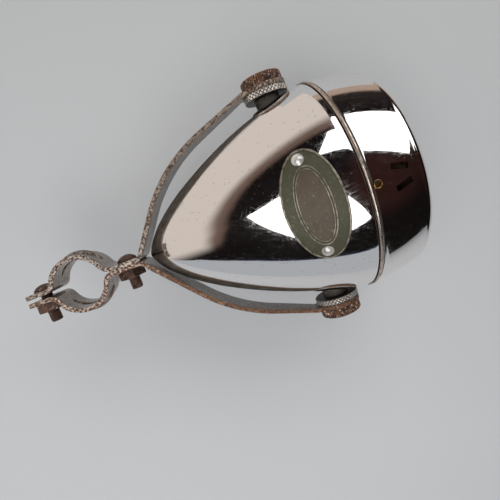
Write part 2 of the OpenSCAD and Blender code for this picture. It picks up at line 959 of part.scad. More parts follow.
// The reflector: a paraboloid between its neck and its flat flange
function bowl(shift, r0) = [
  for (i = [0 : bowl_steps])
    let (r = r0 + (mouth_r - r0) * i / bowl_steps)
      [r, vertex_x - shift + pow(r, 2) / (4 * focal_len)]
];
module reflector() {
  neck_out_r = neck_r + reflector_wall;
  rear_x = neck_front_x - neck_len;
  back_shift = reflector_wall * sqrt(1 + pow(mouth_r / (2 * focal_len), 2));
  color(plated_colour)
    spun()
      polygon(concat(
        [[neck_r, rear_x]],
        bowl(0, neck_r),
        [[mouth_r, lens_rear_x], [flange_r, lens_rear_x], [flange_r, mouth_x]],
        [[mouth_r + back_shift * 2 * focal_len / mouth_r, mouth_x]],
        reversed(bowl(back_shift, neck_out_r)),
        [[neck_out_r, rear_x]]
      ));
}

// The sprung wire ring that holds the reflector and the lens in the bezel
module spring_ring() {
  color(nickel_colour)
    translate([mouth_x - ring_wire_d / 2, 0, 0])
      rotate([0, 90, 0])
        rotate([0, 0, ring_opening / 2])
          rotate_extrude(angle = 360 - ring_opening)
            translate([ring_r, 0])
              circle(d = ring_wire_d);
}

// The holder: a tube that slides in the reflector's neck, with a flange to pull it by
module bulb_holder() {
  color(brass_colour)
    difference() {
      union() {
        bar(holder_r, holder_rear_x, cap_front_x);
        bar(holder_r + holder_wall, holder_rear_x - holder_flange_t, holder_rear_x);
      }
      bar(holder_bore_r, holder_rear_x - holder_flange_t - past, cap_front_x + past);
    }
}

module contact_insulator() {
  color(fibre_colour)
    difference() {
      bar(holder_bore_r, insulator_x, insulator_x + insulator_t);
      bar(stud_shank_d / 2, insulator_x - past, insulator_x + insulator_t + past);
    }
}

// The contact: a stud through the insulator and a blade bent out to the terminal
module contact_blade() {
  leg_x = terminal_x - blade_tail / 2;
  color(brass_colour)
    difference() {
      union() {
        bar(stud_d / 2, insulator_x + insulator_t, insulator_x + insulator_t + stud_h);
        bar(stud_shank_d / 2, insulator_x - blade_t, insulator_x + insulator_t);
        translate([insulator_x - blade_t, -blade_w / 2, -blade_drop])
          cube([blade_t, blade_w, blade_drop + blade_w / 2]);
        translate([leg_x, -blade_w / 2, -blade_drop])
          cube([insulator_x - leg_x, blade_w, blade_t]);
      }
      translate([terminal_x, 0, -blade_drop - past])
        cylinder(d = terminal_d + 2 * seat_play, h = blade_t + 2 * past);
    }
}

// The screw and nut that grip the lead's bare end
module terminal_screw() {
  color(brass_colour)
    translate([terminal_x, 0, -blade_drop + blade_t]) {
      difference() {
        dome(terminal_head_d, terminal_head_h);
        translate([0, 0, terminal_head_h])
          cube([terminal_head_d, slot_w, slot_depth * 2], center = true);
      }
      translate([0, 0, -blade_t - 2 * terminal_nut_h])
        cylinder(d = terminal_d, h = blade_t + 2 * terminal_nut_h);
    }
}

module terminal_nut() {
  color(brass_colour)
    translate([terminal_x, 0, -blade_drop - terminal_nut_h])
      difference() {
        translate([-terminal_nut_w / 2, -terminal_nut_w / 2, 0])
          cube([terminal_nut_w, terminal_nut_w, terminal_nut_h]);
        translate([0, 0, -past])
          cylinder(d = terminal_d + 2 * seat_play, h = terminal_nut_h + 2 * past);
      }
}

// The bulb's screw cap, open at the front for the glass
module bulb_cap() {
  color(brass_colour)
    difference() {
      bar(cap_d / 2, cap_rear_x, cap_front_x);
      bar(cap_d / 2 - cap_wall, cap_rear_x + cap_wall, cap_front_x + past);
    }
}

module bulb_insulator() {
  color(rubber_colour)
    translate([cap_rear_x - cone_h, 0, 0])
      rotate([0, 90, 0])
        cylinder(d1 = tip_d, d2 = cap_d - 2 * cap_wall, h = cone_h);
}

module bulb_contact() {
  color(nickel_colour)
    translate([cap_rear_x - cone_h, 0, 0])
      rotate([0, -90, 0])
        dome(tip_d, tip_h);
}

// The glass: a round globe on a straight stem that sits in the cap
module bulb_glass() {
  stem_r = cap_d / 2 - cap_wall - glass_play;
  color(glass_colour)
    difference() {
      union() {
        bar(stem_r, cap_front_x - stem_depth, focus_x);
        translate([focus_x, 0, 0])
          sphere(d = globe_d);
      }
      bar(stem_r - glass_wall, cap_front_x - stem_depth + glass_wall, focus_x);
      translate([focus_x, 0, 0])
        sphere(d = globe_d - 2 * glass_wall);
    }
}

// Two lead wires that stand in the glass's foot, a glass bead, and the filament between their tips
module bulb_filament() {
  foot_x = cap_front_x - stem_depth + glass_wall;
  color(nickel_colour) {
    for (side = [-1, 1])
      translate([0, side * wire_spread, 0])
        bar(wire_d / 2, foot_x, focus_x);
    translate([focus_x, 0, 0])
      rotate([90, 0, 0])
        cylinder(d = filament_d, h = 2 * wire_spread + wire_d, center = true);
    translate([cap_front_x, 0, 0])
      rotate([90, 0, 0])
        cylinder(d = support_d, h = 2 * wire_spread, center = true);
  }
}

left_strap();
right_strap();
inner_clamp_bolt();
outer_clamp_bolt();
inner_clamp_nut();
outer_clamp_nut();
left_thumb_screw();
right_thumb_screw();
left_collar();
right_collar();
left_pivot_boss();
right_pivot_boss();
body_shell();
nameplate();
nameplate_rivets();
cable_grommet();
bezel();
rim_screw();
lens();
lens_gasket();
reflector();
spring_ring();
bulb_holder();
contact_insulator();
contact_blade();
terminal_screw();
terminal_nut();
bulb_cap();
bulb_insulator();
bulb_contact();
bulb_glass();
bulb_filament();
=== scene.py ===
import json
import math

import bmesh
import bpy
from bpy.props import FloatProperty, FloatVectorProperty, IntProperty, PointerProperty
from bpy.types import Operator, Panel, PropertyGroup
from mathutils import Matrix, Vector, noise

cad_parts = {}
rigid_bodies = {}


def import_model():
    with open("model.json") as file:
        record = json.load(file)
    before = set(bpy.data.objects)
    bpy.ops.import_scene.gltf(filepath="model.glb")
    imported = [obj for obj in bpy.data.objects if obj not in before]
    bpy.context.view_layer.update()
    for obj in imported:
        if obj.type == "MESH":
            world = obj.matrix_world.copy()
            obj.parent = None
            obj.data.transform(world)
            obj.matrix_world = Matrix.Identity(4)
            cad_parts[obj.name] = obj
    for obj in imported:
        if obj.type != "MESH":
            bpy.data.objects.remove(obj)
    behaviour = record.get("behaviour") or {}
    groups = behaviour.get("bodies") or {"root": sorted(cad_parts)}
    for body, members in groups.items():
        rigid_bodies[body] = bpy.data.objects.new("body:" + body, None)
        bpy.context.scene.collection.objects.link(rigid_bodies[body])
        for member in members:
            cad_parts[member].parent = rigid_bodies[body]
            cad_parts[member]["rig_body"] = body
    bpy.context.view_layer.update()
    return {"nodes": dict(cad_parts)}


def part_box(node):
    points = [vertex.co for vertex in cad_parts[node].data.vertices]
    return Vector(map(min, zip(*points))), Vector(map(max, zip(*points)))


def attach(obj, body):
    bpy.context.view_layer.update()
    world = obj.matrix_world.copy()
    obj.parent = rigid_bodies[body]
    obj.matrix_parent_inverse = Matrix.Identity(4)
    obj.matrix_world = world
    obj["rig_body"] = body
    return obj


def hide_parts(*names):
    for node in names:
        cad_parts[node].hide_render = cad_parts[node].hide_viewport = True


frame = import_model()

bl_info = {
    "name": "Front lamp",
    "version": (1, 0, 0),
    "blender": (4, 5, 0),
    "location": "View3D > Sidebar > Lamp",
    "description": "Dresses a plated bullet lamp on its two-strap fork",
    "category": "Add Mesh",
}


def mm(value):
    """Millimetres as metres."""
    return value * 0.001


def linear(code):
    """An sRGB hex colour as linear red, green, blue and alpha."""
    channels = [int(code[i:i + 2], 16) / 255 for i in (1, 3, 5)]
    return (*(c / 12.92 if c <= 0.04045 else ((c + 0.055) / 1.055) ** 2.4 for c in channels), 1.0)


def size(name, description, value):
    return FloatProperty(name=name, description=description, default=value, unit="LENGTH", precision=5)


def number(name, description, value):
    return FloatProperty(name=name, description=description, default=value, min=0)


def count(name, description, value):
    return IntProperty(name=name, description=description, default=value, min=12)


def angle(name, description, degrees):
    return FloatProperty(
        name=name, description=description, default=math.radians(degrees), subtype="ANGLE", unit="ROTATION"
    )


def colour(name, description, code):
    return FloatVectorProperty(
        name=name, description=description, default=linear(code), size=4, min=0, max=1, subtype="COLOR"
    )


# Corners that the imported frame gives
SHELL_LOW, SHELL_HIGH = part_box("body_shell")
BEZEL_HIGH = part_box("bezel")[1]
COLLAR_LOW, COLLAR_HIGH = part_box("left_collar")
THUMB_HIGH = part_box("left_thumb_screw")[1]


class LampSizes(PropertyGroup):
    body_d: size("Body diameter", "Diameter of the body at the seam", mm(98))
    body_len: size("Body length", "Length of the body from its tail to the seam", mm(90.2))
    flank_power: number("Flank fullness", "Fullness of the body's flank", 1.4)
    nose_power: number("Nose bluntness", "Bluntness of the body's nose", 0.68)
    sheet_t: size("Sheet", "Thickness of the plated brass sheet", mm(1))
    bezel_drop: size("Bezel draw", "Fall of the bezel's radius along its side", mm(2.9))
    corner_len: size("Corner length", "Length of the bezel's rounded front corner", mm(4.6))
    corner_w: size("Corner width", "Width of the bezel's rounded front corner", mm(7.7))
    rim_bead_r: size("Rolled bead", "Radius of the rolled bead at the bezel's rear edge", mm(0.8))
    tube_d: size("Tube", "Diameter of the tube that the clamp grips", mm(22))
    strap_w: size("Strap width", "Width of both straps", mm(20))
    arm_end_w: size("Arm end width", "Width to which the arms narrow at their pads", mm(10))
    strap_t: size("Strap thickness", "Thickness of both straps", mm(2))
    rib_h: size("Rib height", "Height of the pressed rib in the clamp", mm(1.5))
    collar_d: size("Collar diameter", "Diameter of the knurled collars", mm(21))
    thumb_d: size("Thumb screw diameter", "Diameter of the thumb screws' heads", mm(19.5))
    thumb_h: size("Thumb screw height", "Height of the thumb screws' heads", mm(4.5))
    pivot_d: size("Pivot", "Diameter of the thumb screws' shanks", mm(7.8))
    knurl_count: count("Knurls", "Ridges round a thumb screw's head", 54)
    diamond_count: count("Diamonds", "Diamonds round a collar's knurl", 34)
    bolt_d: size("Clamp bolt", "Diameter of the clamp bolts", mm(5.5))
    nut_w: size("Nut width", "Width of the square nuts across their flats", mm(9))
    plate_span: size("Plate length", "Length of the bare oval plate", mm(43.3))
    plate_w: size("Plate width", "Width of the bare oval plate", mm(24))
    plate_t: size("Plate thickness", "Thickness of the bare oval plate", mm(0.6))
    crown_lean: angle("Crown lean", "Lean of the plate, screw and vents from the top", 3.3)


class LampFinishes(PropertyGroup):
    chrome: colour("Chromium", "Polished chromium plate", "#EDEBEA")
    nickel: colour("Nickel", "Worn nickel plate on the clamp", "#B3A498")
    nickel_left: colour("Left arm nickel", "Duller nickel on the left arm's edge", "#9C8B7B")
    nickel_brown: colour("Right arm nickel", "Nickel on the right arm's edge, browned by rust", "#8E7058")
    # Pale nickel on the knurls' points: rubbed plate and painted highlight
    knurl_point_highlight: colour("Bright nickel", "Nickel plate that fingers keep bright", "#D6CEC6")
    # On the arms the straps' broad faces are darker: painted shade
    strap_face: colour("Strap face", "Dulled nickel on the straps' broad faces", "#857B72")
    rust_dark: colour("Dark rust", "Old brown rust", "#3A271D")
    rust_orange: colour("Orange rust", "Fresh orange rust", "#75472B")
    enamel: colour("Enamel", "Grey green enamel of the plate's band", "#403F2E")
    bronze: colour("Bronze", "Dulled bronze of the plate's middle", "#4C4134")
    plate_edge: colour("Plate border", "Bare metal of the plate's border", "#A39A8C")
    brass: colour("Brass", "Aged brass", "#80613A")
    rubber: colour("Rubber", "Black rubber", "#1C1B1A")
    backdrop: colour("Backdrop", "Pale grey paper under and behind the lamp", "#B6B6B6")
    # The paper's paler side is painted light
    backdrop_painted_light: colour("Near backdrop", "The same paper where it is paler", "#C6C6C8")


class LampStudio(PropertyGroup):
    key_level: number("Key panel", "Brightness of the panel in front, on the left", 2.05)
    top_level: number("Top panel", "Brightness of the panel above the clamp", 2.75)
    fill_level: number("Fill", "Brightness of the room's soft fill", 0.34)
    card: colour("Warm card", "Beige card that stands behind the lamp", "#D9CEC5")
    sweep: colour("Cool sweep", "Grey paper that rises in front of the lamp", "#B0B4B9")


# How close points merge, the angle past which an edge is sharp, and the steps round a turned piece
WELD = 1e-7
SHARP = math.radians(32)
ROUND_STEPS = 256

# Radius of the straps' broken edges, the groove beside the rolled bead, and the body's stepped collar
EDGE_ROUND = mm(0.25)
BEAD_GROOVE = mm(0.45)
SPIGOT_LEN = mm(9)

# How far a cutter reaches past what it cuts
PAST = mm(1)

# Seed of the noise that dents the bolts, the nuts and the thumb screws
DENT_SEED = 1

# Play of a shank in a hole that it passes through
PLAY = mm(0.3)

# The slotted bolts' heads, and the square nuts
HEAD_R = mm(4.6)
HEAD_D, HEAD_H = mm(9.08), mm(2.74)
HEAD_SLOT_W, HEAD_SLOT_DEPTH = mm(1.1), mm(1.2)
NUT_H, BOLT_TAIL = mm(4.5), mm(5.5)

# The holes that the body's bosses, the grommet and the bezel's screw fill
BOSS_HOLE_R, INLET_HOLE_R, SCREW_HOLE_R = mm(6.05), mm(3.85), mm(1.35)

# Domed rivets through the plate
RIVET_R, RIVET_H, RIVET_SHANK_R, RIVET_FOOT_R = mm(2.4), mm(1.1), mm(1.2), mm(2)

# Places along the beam, and the pads' inner faces across it
TAIL_X = SHELL_LOW.x
SEAM_X = SHELL_HIGH.x - SPIGOT_LEN
BEZEL_X = SEAM_X + mm(0.2)
FRONT_X = BEZEL_HIGH.x
PIVOT_X = (COLLAR_LOW.x + COLLAR_HIGH.x) / 2
PAD_IN_Y = COLLAR_HIGH.y + mm(0.1)
ROOT_X = TAIL_X - mm(3.8)
PLATE_X = SEAM_X - mm(19.2)
SCREW_X = SEAM_X + mm(3.9)
VENT_X = SEAM_X + mm(13.9)
INLET_X = SEAM_X - mm(31)
INNER_BOLT_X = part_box("inner_clamp_bolt")[0].x + HEAD_R
OUTER_BOLT_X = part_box("outer_clamp_bolt")[0].x + HEAD_R

# The arms' bends, their splay at the root on the left (1) and right (-1), and their slope to the pads, in
# degrees, where they bend along the pads, and the rows of points round a pad's end
ROOT_BEND_R, PAD_BEND_R, BOW_R = mm(3), mm(4), mm(75)
ARM_SPLAY = {1: 55, -1: 49}
ARM_SLOPE = 22
PAD_BEND_X = PIVOT_X - mm(10.6) - PAD_BEND_R * math.tan(math.radians(ARM_SLOPE / 2))
PAD_ROWS = 30


def sizes():
    return bpy.context.scene.lamp_sizes


def finishes():
    return bpy.context.scene.lamp_finishes


def smooth_step(value):
    value = min(1, max(0, value))
    return value * value * (3 - 2 * value)


def body_radius(x, inset=0.0):
    """Radius of the body's skin, or of a skin inset from it, at a place along the beam."""
    s = sizes()
    share = max(0, SEAM_X - x) / (s.body_len - inset)
    return (s.body_d / 2 - inset) * max(0, 1 - share ** s.flank_power) ** s.nose_power


def body_slope(x):
    """Slope of the body's skin along the beam, in radians."""
    step = mm(0.5)
    return math.atan((body_radius(x + step) - body_radius(x - step)) / (2 * step))


def bezel_radius(x):
    """Radius of the bezel's side at a place along the beam."""
    s = sizes()
    corner_x = FRONT_X - s.corner_len
    return s.body_d / 2 + mm(0.1) - s.bezel_drop * ((x - BEZEL_X) / (corner_x - BEZEL_X)) ** 2


def on_skin(x, lean, radius, slope=0.0):
    """A place on the skin whose Z is square to it: lean is measured from the top to the left."""
    return (
        Matrix.Rotation(-lean, 4, "X")
        @ Matrix.Translation((x, 0, radius))
        @ Matrix.Rotation(-slope, 4, "Y")
    )


ALONG_BEAM = Matrix.Rotation(math.pi / 2, 4, "Y")


def at_pivot(side):
    """The tilt axis, with Z pointing away from the lamp on its left (1) or right (-1)."""
    return Matrix.Translation((PIVOT_X, 0, 0)) @ Matrix.Rotation(-side * math.pi / 2, 4, "X")


# Mesh making

def arc(centre, radius, start, end, steps):
    """Points of an arc, from one angle to another in degrees."""
    return [
        (
            centre[0] + radius * math.cos(math.radians(start + (end - start) * i / steps)),
            centre[1] + radius * math.sin(math.radians(start + (end - start) * i / steps)),
        )
        for i in range(steps + 1)
    ]


def turned(profile, steps=ROUND_STEPS, closed=True):
    """A shape turned about Z from points of radius and height."""
    bm = bmesh.new()
    ring = [bm.verts.new((r, 0, h)) for r, h in profile]
    ends = ring[1:] + ring[:1] if closed else ring[1:]
    edges = [bm.edges.new(pair) for pair in zip(ring, ends)]
    bmesh.ops.spin(
        bm, geom=ring + edges, cent=(0, 0, 0), axis=(0, 0, 1), angle=2 * math.pi, steps=steps, use_merge=True
    )
    bmesh.ops.remove_doubles(bm, verts=bm.verts, dist=WELD)
    bmesh.ops.recalc_face_normals(bm, faces=bm.faces)
    return bm


def block(low, high):
    """A box between two corners."""
    bm = bmesh.new()
    bmesh.ops.create_cube(bm, size=1)
    extent = Vector(high) - Vector(low)
    bmesh.ops.scale(bm, vec=extent, verts=bm.verts)
    bmesh.ops.translate(bm, vec=(Vector(low) + Vector(high)) / 2, verts=bm.verts)
    return bm


def rod(radius, low, high):
    """A plain cylinder about Z, as a cutter or a plain shank."""
    return turned([(0, low), (radius, low), (radius, high), (0, high)], 48, closed=False)


def placed(bm, matrix):
    bmesh.ops.transform(bm, matrix=matrix, verts=bm.verts)
    return bm


def joined(*parts):
    """Several bmeshes as one."""
    whole = bmesh.new()
    for part in parts:
        mesh = bpy.data.meshes.new("part")
        part.to_mesh(mesh)
        part.free()
        whole.from_mesh(mesh)
        bpy.data.meshes.remove(mesh)
    return whole


def as_object(bm, name):
    mesh = bpy.data.meshes.new(name)
    bm.to_mesh(mesh)
    bm.free()
    made = bpy.data.objects.new(name, mesh)
    bpy.context.scene.collection.objects.link(made)
    return made


def cut(bm, *cutters):
    """The shape with the cutters taken out of it."""
    whole = as_object(bm, "whole")
    tool = as_object(joined(*cutters), "cutter")
    modifier = whole.modifiers.new("Cut", "BOOLEAN")
    modifier.operation = "DIFFERENCE"
    modifier.solver = "EXACT"
    modifier.object = tool
    bpy.context.view_layer.update()
    evaluated = whole.evaluated_get(bpy.context.evaluated_depsgraph_get())
    result = bmesh.new()
    result.from_mesh(evaluated.to_mesh())
    evaluated.to_mesh_clear()
    for made in (whole, tool):
        mesh = made.data
        bpy.data.objects.remove(made)
        bpy.data.meshes.remove(mesh)
    bmesh.ops.remove_doubles(result, verts=result.verts, dist=WELD)
    return result


def soften(bm, offset, segments=2, past=math.radians(50)):
    """Rounds every edge that is sharper than an angle."""
    edges = [e for e in bm.edges if e.is_manifold and e.calc_face_angle() > past]
    bmesh.ops.bevel(
        bm, geom=edges, offset=offset, offset_type="OFFSET", segments=segments, profile=0.5,
        affect="EDGES", material=-1, clamp_overlap=True
    )
    return bm


def piece(name, bm, nodes, slot, *materials):
    """A finished piece that rides on its node's body and stands for the node."""
    nodes = [nodes] if isinstance(nodes, str) else nodes
    if not bm.faces:
        raise RuntimeError(f"{name} came out empty")
    made = as_object(bm, name)
    made.data.shade_smooth()
    made.data.set_sharp_from_angle(angle=SHARP)
    for material in materials:
        made.data.materials.append(material)
    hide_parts(*nodes)
    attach(made, frame["nodes"][nodes[0]]["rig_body"])
    return made


def dressed(name, node, slot, material):
    """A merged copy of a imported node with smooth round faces."""
    bm = bmesh.new()
    bm.from_mesh(frame["nodes"][node].data)
    bmesh.ops.remove_doubles(bm, verts=bm.verts, dist=mm(0.001))
    for face in bm.faces:
        face.material_index = 0
    return piece(name, bm, node, slot, material)


# Materials

def fill(tree, socket, value):
    """Sets a socket to a value, to a hex colour, or links it to another node."""
    if isinstance(value, bpy.types.NodeSocket):
        tree.links.new(value, socket)
    else:
        socket.default_value = linear(value) if isinstance(value, str) else value


def add(tree, kind, inputs, **settings):
    """Adds a node, with its settings and its inputs."""
    node = tree.nodes.new("ShaderNode" + kind)
    for key, value in settings.items():
        setattr(node, key, value)
    for key, value in inputs.items():
        fill(tree, node.inputs[key], value)
    return node


def finish(name, inputs):
    """A new material with its tree, its shader and the piece's own coordinates."""
    made = bpy.data.materials.new(name)
    made.use_nodes = True
    shader = made.node_tree.nodes["Principled BSDF"]
    for key, value in inputs.items():
        fill(made.node_tree, shader.inputs[key], value)
    at = add(made.node_tree, "TexCoord", {}).outputs["Object"]
    return made, made.node_tree, shader, at


def weathered(tree, shader, wear, tones, levels, height, strength, depth):
    """Lets wear, from 0 to 1, lead a surface from one tone and level to another, and raises its relief."""
    shade = add(tree, "Mix", {0: wear, 6: tones[0], 7: tones[1]}, data_type="RGBA")
    fill(tree, shader.inputs["Base Color"], shade.outputs[2])
    for name, (fresh, worn) in levels.items():
        level = add(tree, "MapRange", {"Value": wear, "To Min": fresh, "To Max": worn})
        fill(tree, shader.inputs[name], level.outputs[0])
    bump = add(tree, "Bump", {"Height": height, "Strength": strength, "Distance": depth})
    fill(tree, shader.inputs["Normal"], bump.outputs[0])


def blotches(tree, at, width, low, high, detail=4.0):
    """Soft patches of a width in metres: 0 below low and 1 above high."""
    pattern = add(
        tree, "TexNoise", {"Vector": at, "Scale": 1 / width, "Detail": detail, "Roughness": 0.6}
    )
    return add(
        tree, "MapRange",
        {"Value": pattern.outputs["Fac"], "From Min": low, "From Max": high}, clamp=True
    ).outputs[0]


def specks(tree, at, spacing, share, reach):
    """Small dots, a spacing apart: share of the cells have one, of reach times the spacing."""
    cells = add(tree, "TexVoronoi", {"Vector": at, "Scale": 1 / spacing, "Randomness": 1.0})
    dot = add(
        tree, "MapRange",
        {"Value": cells.outputs["Distance"], "From Min": reach, "From Max": reach * 0.4}, clamp=True
    ).outputs[0]
    chosen = add(
        tree, "Math", {0: cells.outputs["Color"], 1: share}, operation="LESS_THAN"
    ).outputs[0]
    return add(tree, "Math", {0: dot, 1: chosen}, operation="MULTIPLY").outputs[0]


def hairlines(tree, at, length, width, turn, cover):
    """Fine scratches of a length and spacing in metres, turned by Euler angles."""
    lay = add(
        tree, "Mapping",
        {"Vector": at, "Rotation": turn, "Scale": (1 / length, 1 / width, 1 / width)}
    ).outputs[0]
    pattern = add(tree, "TexNoise", {"Vector": lay, "Scale": 1.0, "Detail": 1.0}).outputs["Fac"]
    off = add(tree, "Math", {0: pattern, 1: 0.5}, operation="SUBTRACT").outputs[0]
    near = add(tree, "Math", {0: off}, operation="ABSOLUTE").outputs[0]
    return add(
        tree, "MapRange", {"Value": near, "From Min": cover, "From Max": 0.0}, clamp=True
    ).outputs[0]


def chrome_plate():
    """Polished chromium over nickel on spun brass: a cold mirror, with hairlines, pits and a little haze."""
    made, tree, shader, at = finish("polished_chrome_plate", {"Metallic": 1.0})
    pits = specks(tree, at, mm(1.9), 0.6, 0.13)
    haze = blotches(tree, at, mm(14), 0.45, 0.75)
    lines_a = hairlines(tree, at, mm(22), mm(0.9), (0.5, 0.3, 0.7), 0.009)
    lines_b = hairlines(tree, at, mm(16), mm(1.1), (1.9, 0.9, 2.2), 0.008)
    lines = add(tree, "Math", {0: lines_a, 1: lines_b}, operation="MAXIMUM").outputs[0]
    rough = add(tree, "MapRange", {"Value": haze, "To Min": 0.03, "To Max": 0.06}).outputs[0]
    for marks, rise in ((lines, 0.2), (pits, 0.35)):
        rough = add(
            tree, "Math", {0: marks, 1: rise, 2: rough}, operation="MULTIPLY_ADD"
        ).outputs[0]
    fill(tree, shader.inputs["Roughness"], rough)
    grain = blotches(tree, at, mm(0.5), 0.3, 0.7, 2.0)
    height = add(
        tree, "Math", {0: lines, 1: -3.0, 2: grain}, operation="MULTIPLY_ADD"
    ).outputs[0]
    weathered(tree, shader, pits, (finishes().chrome, "#4A403A"), {}, height, 0.16, mm(0.002))
    return made


def worn_nickel(name, tone, arm_tone, rust_tone, rust_share, depth, shine, arm_shine):
    """Dull nickel on pressed steel, rubbed thin: satin metal with brown rust breaking through in specks.

    Its tone and its shine change from the clamp to the arm; on the straps' broad faces the arm's darker,
    duller tone is painted shade."""
    made, tree, shader, at = finish(name, {})
    rust = blotches(tree, at, mm(1.1), rust_share, rust_share + 0.1, 6.0)
    along_x = add(tree, "SeparateXYZ", {"Vector": at}).outputs[0]
    on_arm = add(
        tree, "MapRange",
        {"Value": along_x, "From Min": ROOT_X - mm(3), "From Max": ROOT_X + mm(9)}, clamp=True
    ).outputs[0]
    # From the clamp's tone to the arm's: on the straps' broad faces the arm's tone is painted shade
    here = add(tree, "Mix", {0: on_arm, 6: tone, 7: arm_tone}, data_type="RGBA").outputs[2]
    rubbed = add(
        tree, "Mix", {0: 1.0, 6: here, 7: "#CECBC8"}, data_type="RGBA", blend_type="MULTIPLY"
    ).outputs[2]
    thin = blotches(tree, at, mm(4), 0.35, 0.65)
    plate = add(tree, "Mix", {0: thin, 6: here, 7: rubbed}, data_type="RGBA").outputs[2]
    fresh = blotches(tree, at, mm(0.9), 0.4, 0.6, 3.0)
    stain = add(
        tree, "Mix", {0: fresh, 6: finishes().rust_dark, 7: rust_tone}, data_type="RGBA"
    ).outputs[2]
    bare = add(tree, "MapRange", {"Value": on_arm, "To Min": shine, "To Max": arm_shine}).outputs[0]
    grain = blotches(tree, at, mm(0.4), 0.2, 0.8, 3.0)
    height = add(
        tree, "Math", {0: rust, 1: -1.2, 2: grain}, operation="MULTIPLY_ADD"
    ).outputs[0]
    levels = {"Metallic": (bare, 0.1), "Roughness": (0.24, 0.7)}
    weathered(tree, shader, rust, (plate, stain), levels, height, 0.8, depth)
    return made


def rusty_steel(name, dark, light, metal_share):
    """Steel that has rusted over: matt, pitted brown, with bare metal left on rubbed spots."""
    made, tree, shader, at = finish(name, {})
    patches = blotches(tree, at, mm(3.2), 0.38, 0.62, 5.0)
    rust = add(tree, "Mix", {0: patches, 6: dark, 7: light}, data_type="RGBA").outputs[2]
    bare = blotches(tree, at, mm(1.3), metal_share, metal_share + 0.06, 5.0)
    grain = blotches(tree, at, mm(0.5), 0.2, 0.8, 5.0)
    levels = {"Metallic": (0.25, 1.0), "Roughness": (0.62, 0.35)}
    weathered(tree, shader, bare, (rust, "#B3A498"), levels, grain, 0.9, mm(0.12))
    return made


def satin_metal(name, tone, stain, roughness):
    """A plain metal with finger-worn shine and darker stain in soft patches."""
    made, tree, shader, at = finish(name, {"Metallic": 1.0})
    dirt = blotches(tree, at, mm(2.2), 0.42, 0.68, 5.0)
    grain = blotches(tree, at, mm(0.35), 0.2, 0.8, 3.0)
    levels = {"Roughness": (roughness, roughness + 0.22)}
    weathered(tree, shader, dirt, (tone, stain), levels, grain, 0.5, mm(0.03))
    return made


def knurled_nickel():
    """Nickel on a knurled ring: pale on the points, as rubbed plate and painted highlight, and black in the
    grooves as painted shade, set by depth alone.
    """
    made, tree, shader, at = finish("knurled_nickel_painted_light", {"Metallic": 0.85, "Roughness": 0.3})
    rim_r = sizes().collar_d / 2
    from_axis = add(
        tree, "VectorMath", {0: at, 1: (PIVOT_X, 0, 0)}, operation="SUBTRACT"
    ).outputs[0]
    flat = add(tree, "VectorMath", {0: from_axis, 1: (1, 0, 1)}, operation="MULTIPLY").outputs[0]
    reach = add(tree, "VectorMath", {0: flat}, operation="LENGTH").outputs["Value"]
    point = add(
        tree, "MapRange",
        {"Value": reach, "From Min": rim_r - mm(0.4), "From Max": rim_r - mm(0.14)}, clamp=True
    ).outputs[0]
    # Black in the grooves is painted shade; the pale points are rubbed plate and painted highlight
    shade = add(
        tree, "Mix", {0: point, 6: "#2A2420", 7: finishes().knurl_point_highlight}, data_type="RGBA"
    ).outputs[2]
    fill(tree, shader.inputs["Base Color"], shade)
    return made


def dull_matt(name, tone, dust_tone, roughness, grain_w, depth):
    """A matt stuff with a fine grain, lighter where it is dusty."""
    made, tree, shader, at = finish(name, {"Roughness": roughness})
    dust = blotches(tree, at, mm(3), 0.35, 0.75, 5.0)
    grain = blotches(tree, at, grain_w, 0.2, 0.8, 3.0)
    weathered(tree, shader, dust, (tone, dust_tone), {}, grain, 0.6, depth)
    return made


def plate_enamel(name, tone, worn_tone):
    """Thin old enamel on stamped brass: satin, patchy, with the metal showing where it has worn."""
    made, tree, shader, at = finish(name, {"Specular IOR Level": 0.3})
    worn = blotches(tree, at, mm(0.9), 0.58, 0.76, 6.0)
    cloud = blotches(tree, at, mm(6), 0.3, 0.7, 4.0)
    paler = tuple(c * 1.3 for c in tone[:3]) + (1.0,)
    coat = add(tree, "Mix", {0: cloud, 6: tone, 7: paler}, data_type="RGBA").outputs[2]
    grain = blotches(tree, at, mm(0.4), 0.25, 0.75, 4.0)
    levels = {"Metallic": (0.1, 0.7), "Roughness": (0.45, 0.38)}
    weathered(tree, shader, worn, (coat, worn_tone), levels, grain, 0.7, mm(0.04))
    return made


def clear_glass(name, tint):
    """Clear glass: sharp highlights, the tint that thick glass has, and a few smears."""
    inputs = {"Transmission Weight": 1.0, "IOR": 1.5, "Base Color": tint}
    made, tree, shader, at = finish(name, inputs)
    smears = blotches(tree, at, mm(9), 0.5, 0.8)
    rough = add(tree, "MapRange", {"Value": smears, "To Min": 0.0, "To Max": 0.05})
    fill(tree, shader.inputs["Roughness"], rough.outputs[0])
    return made


# Straps

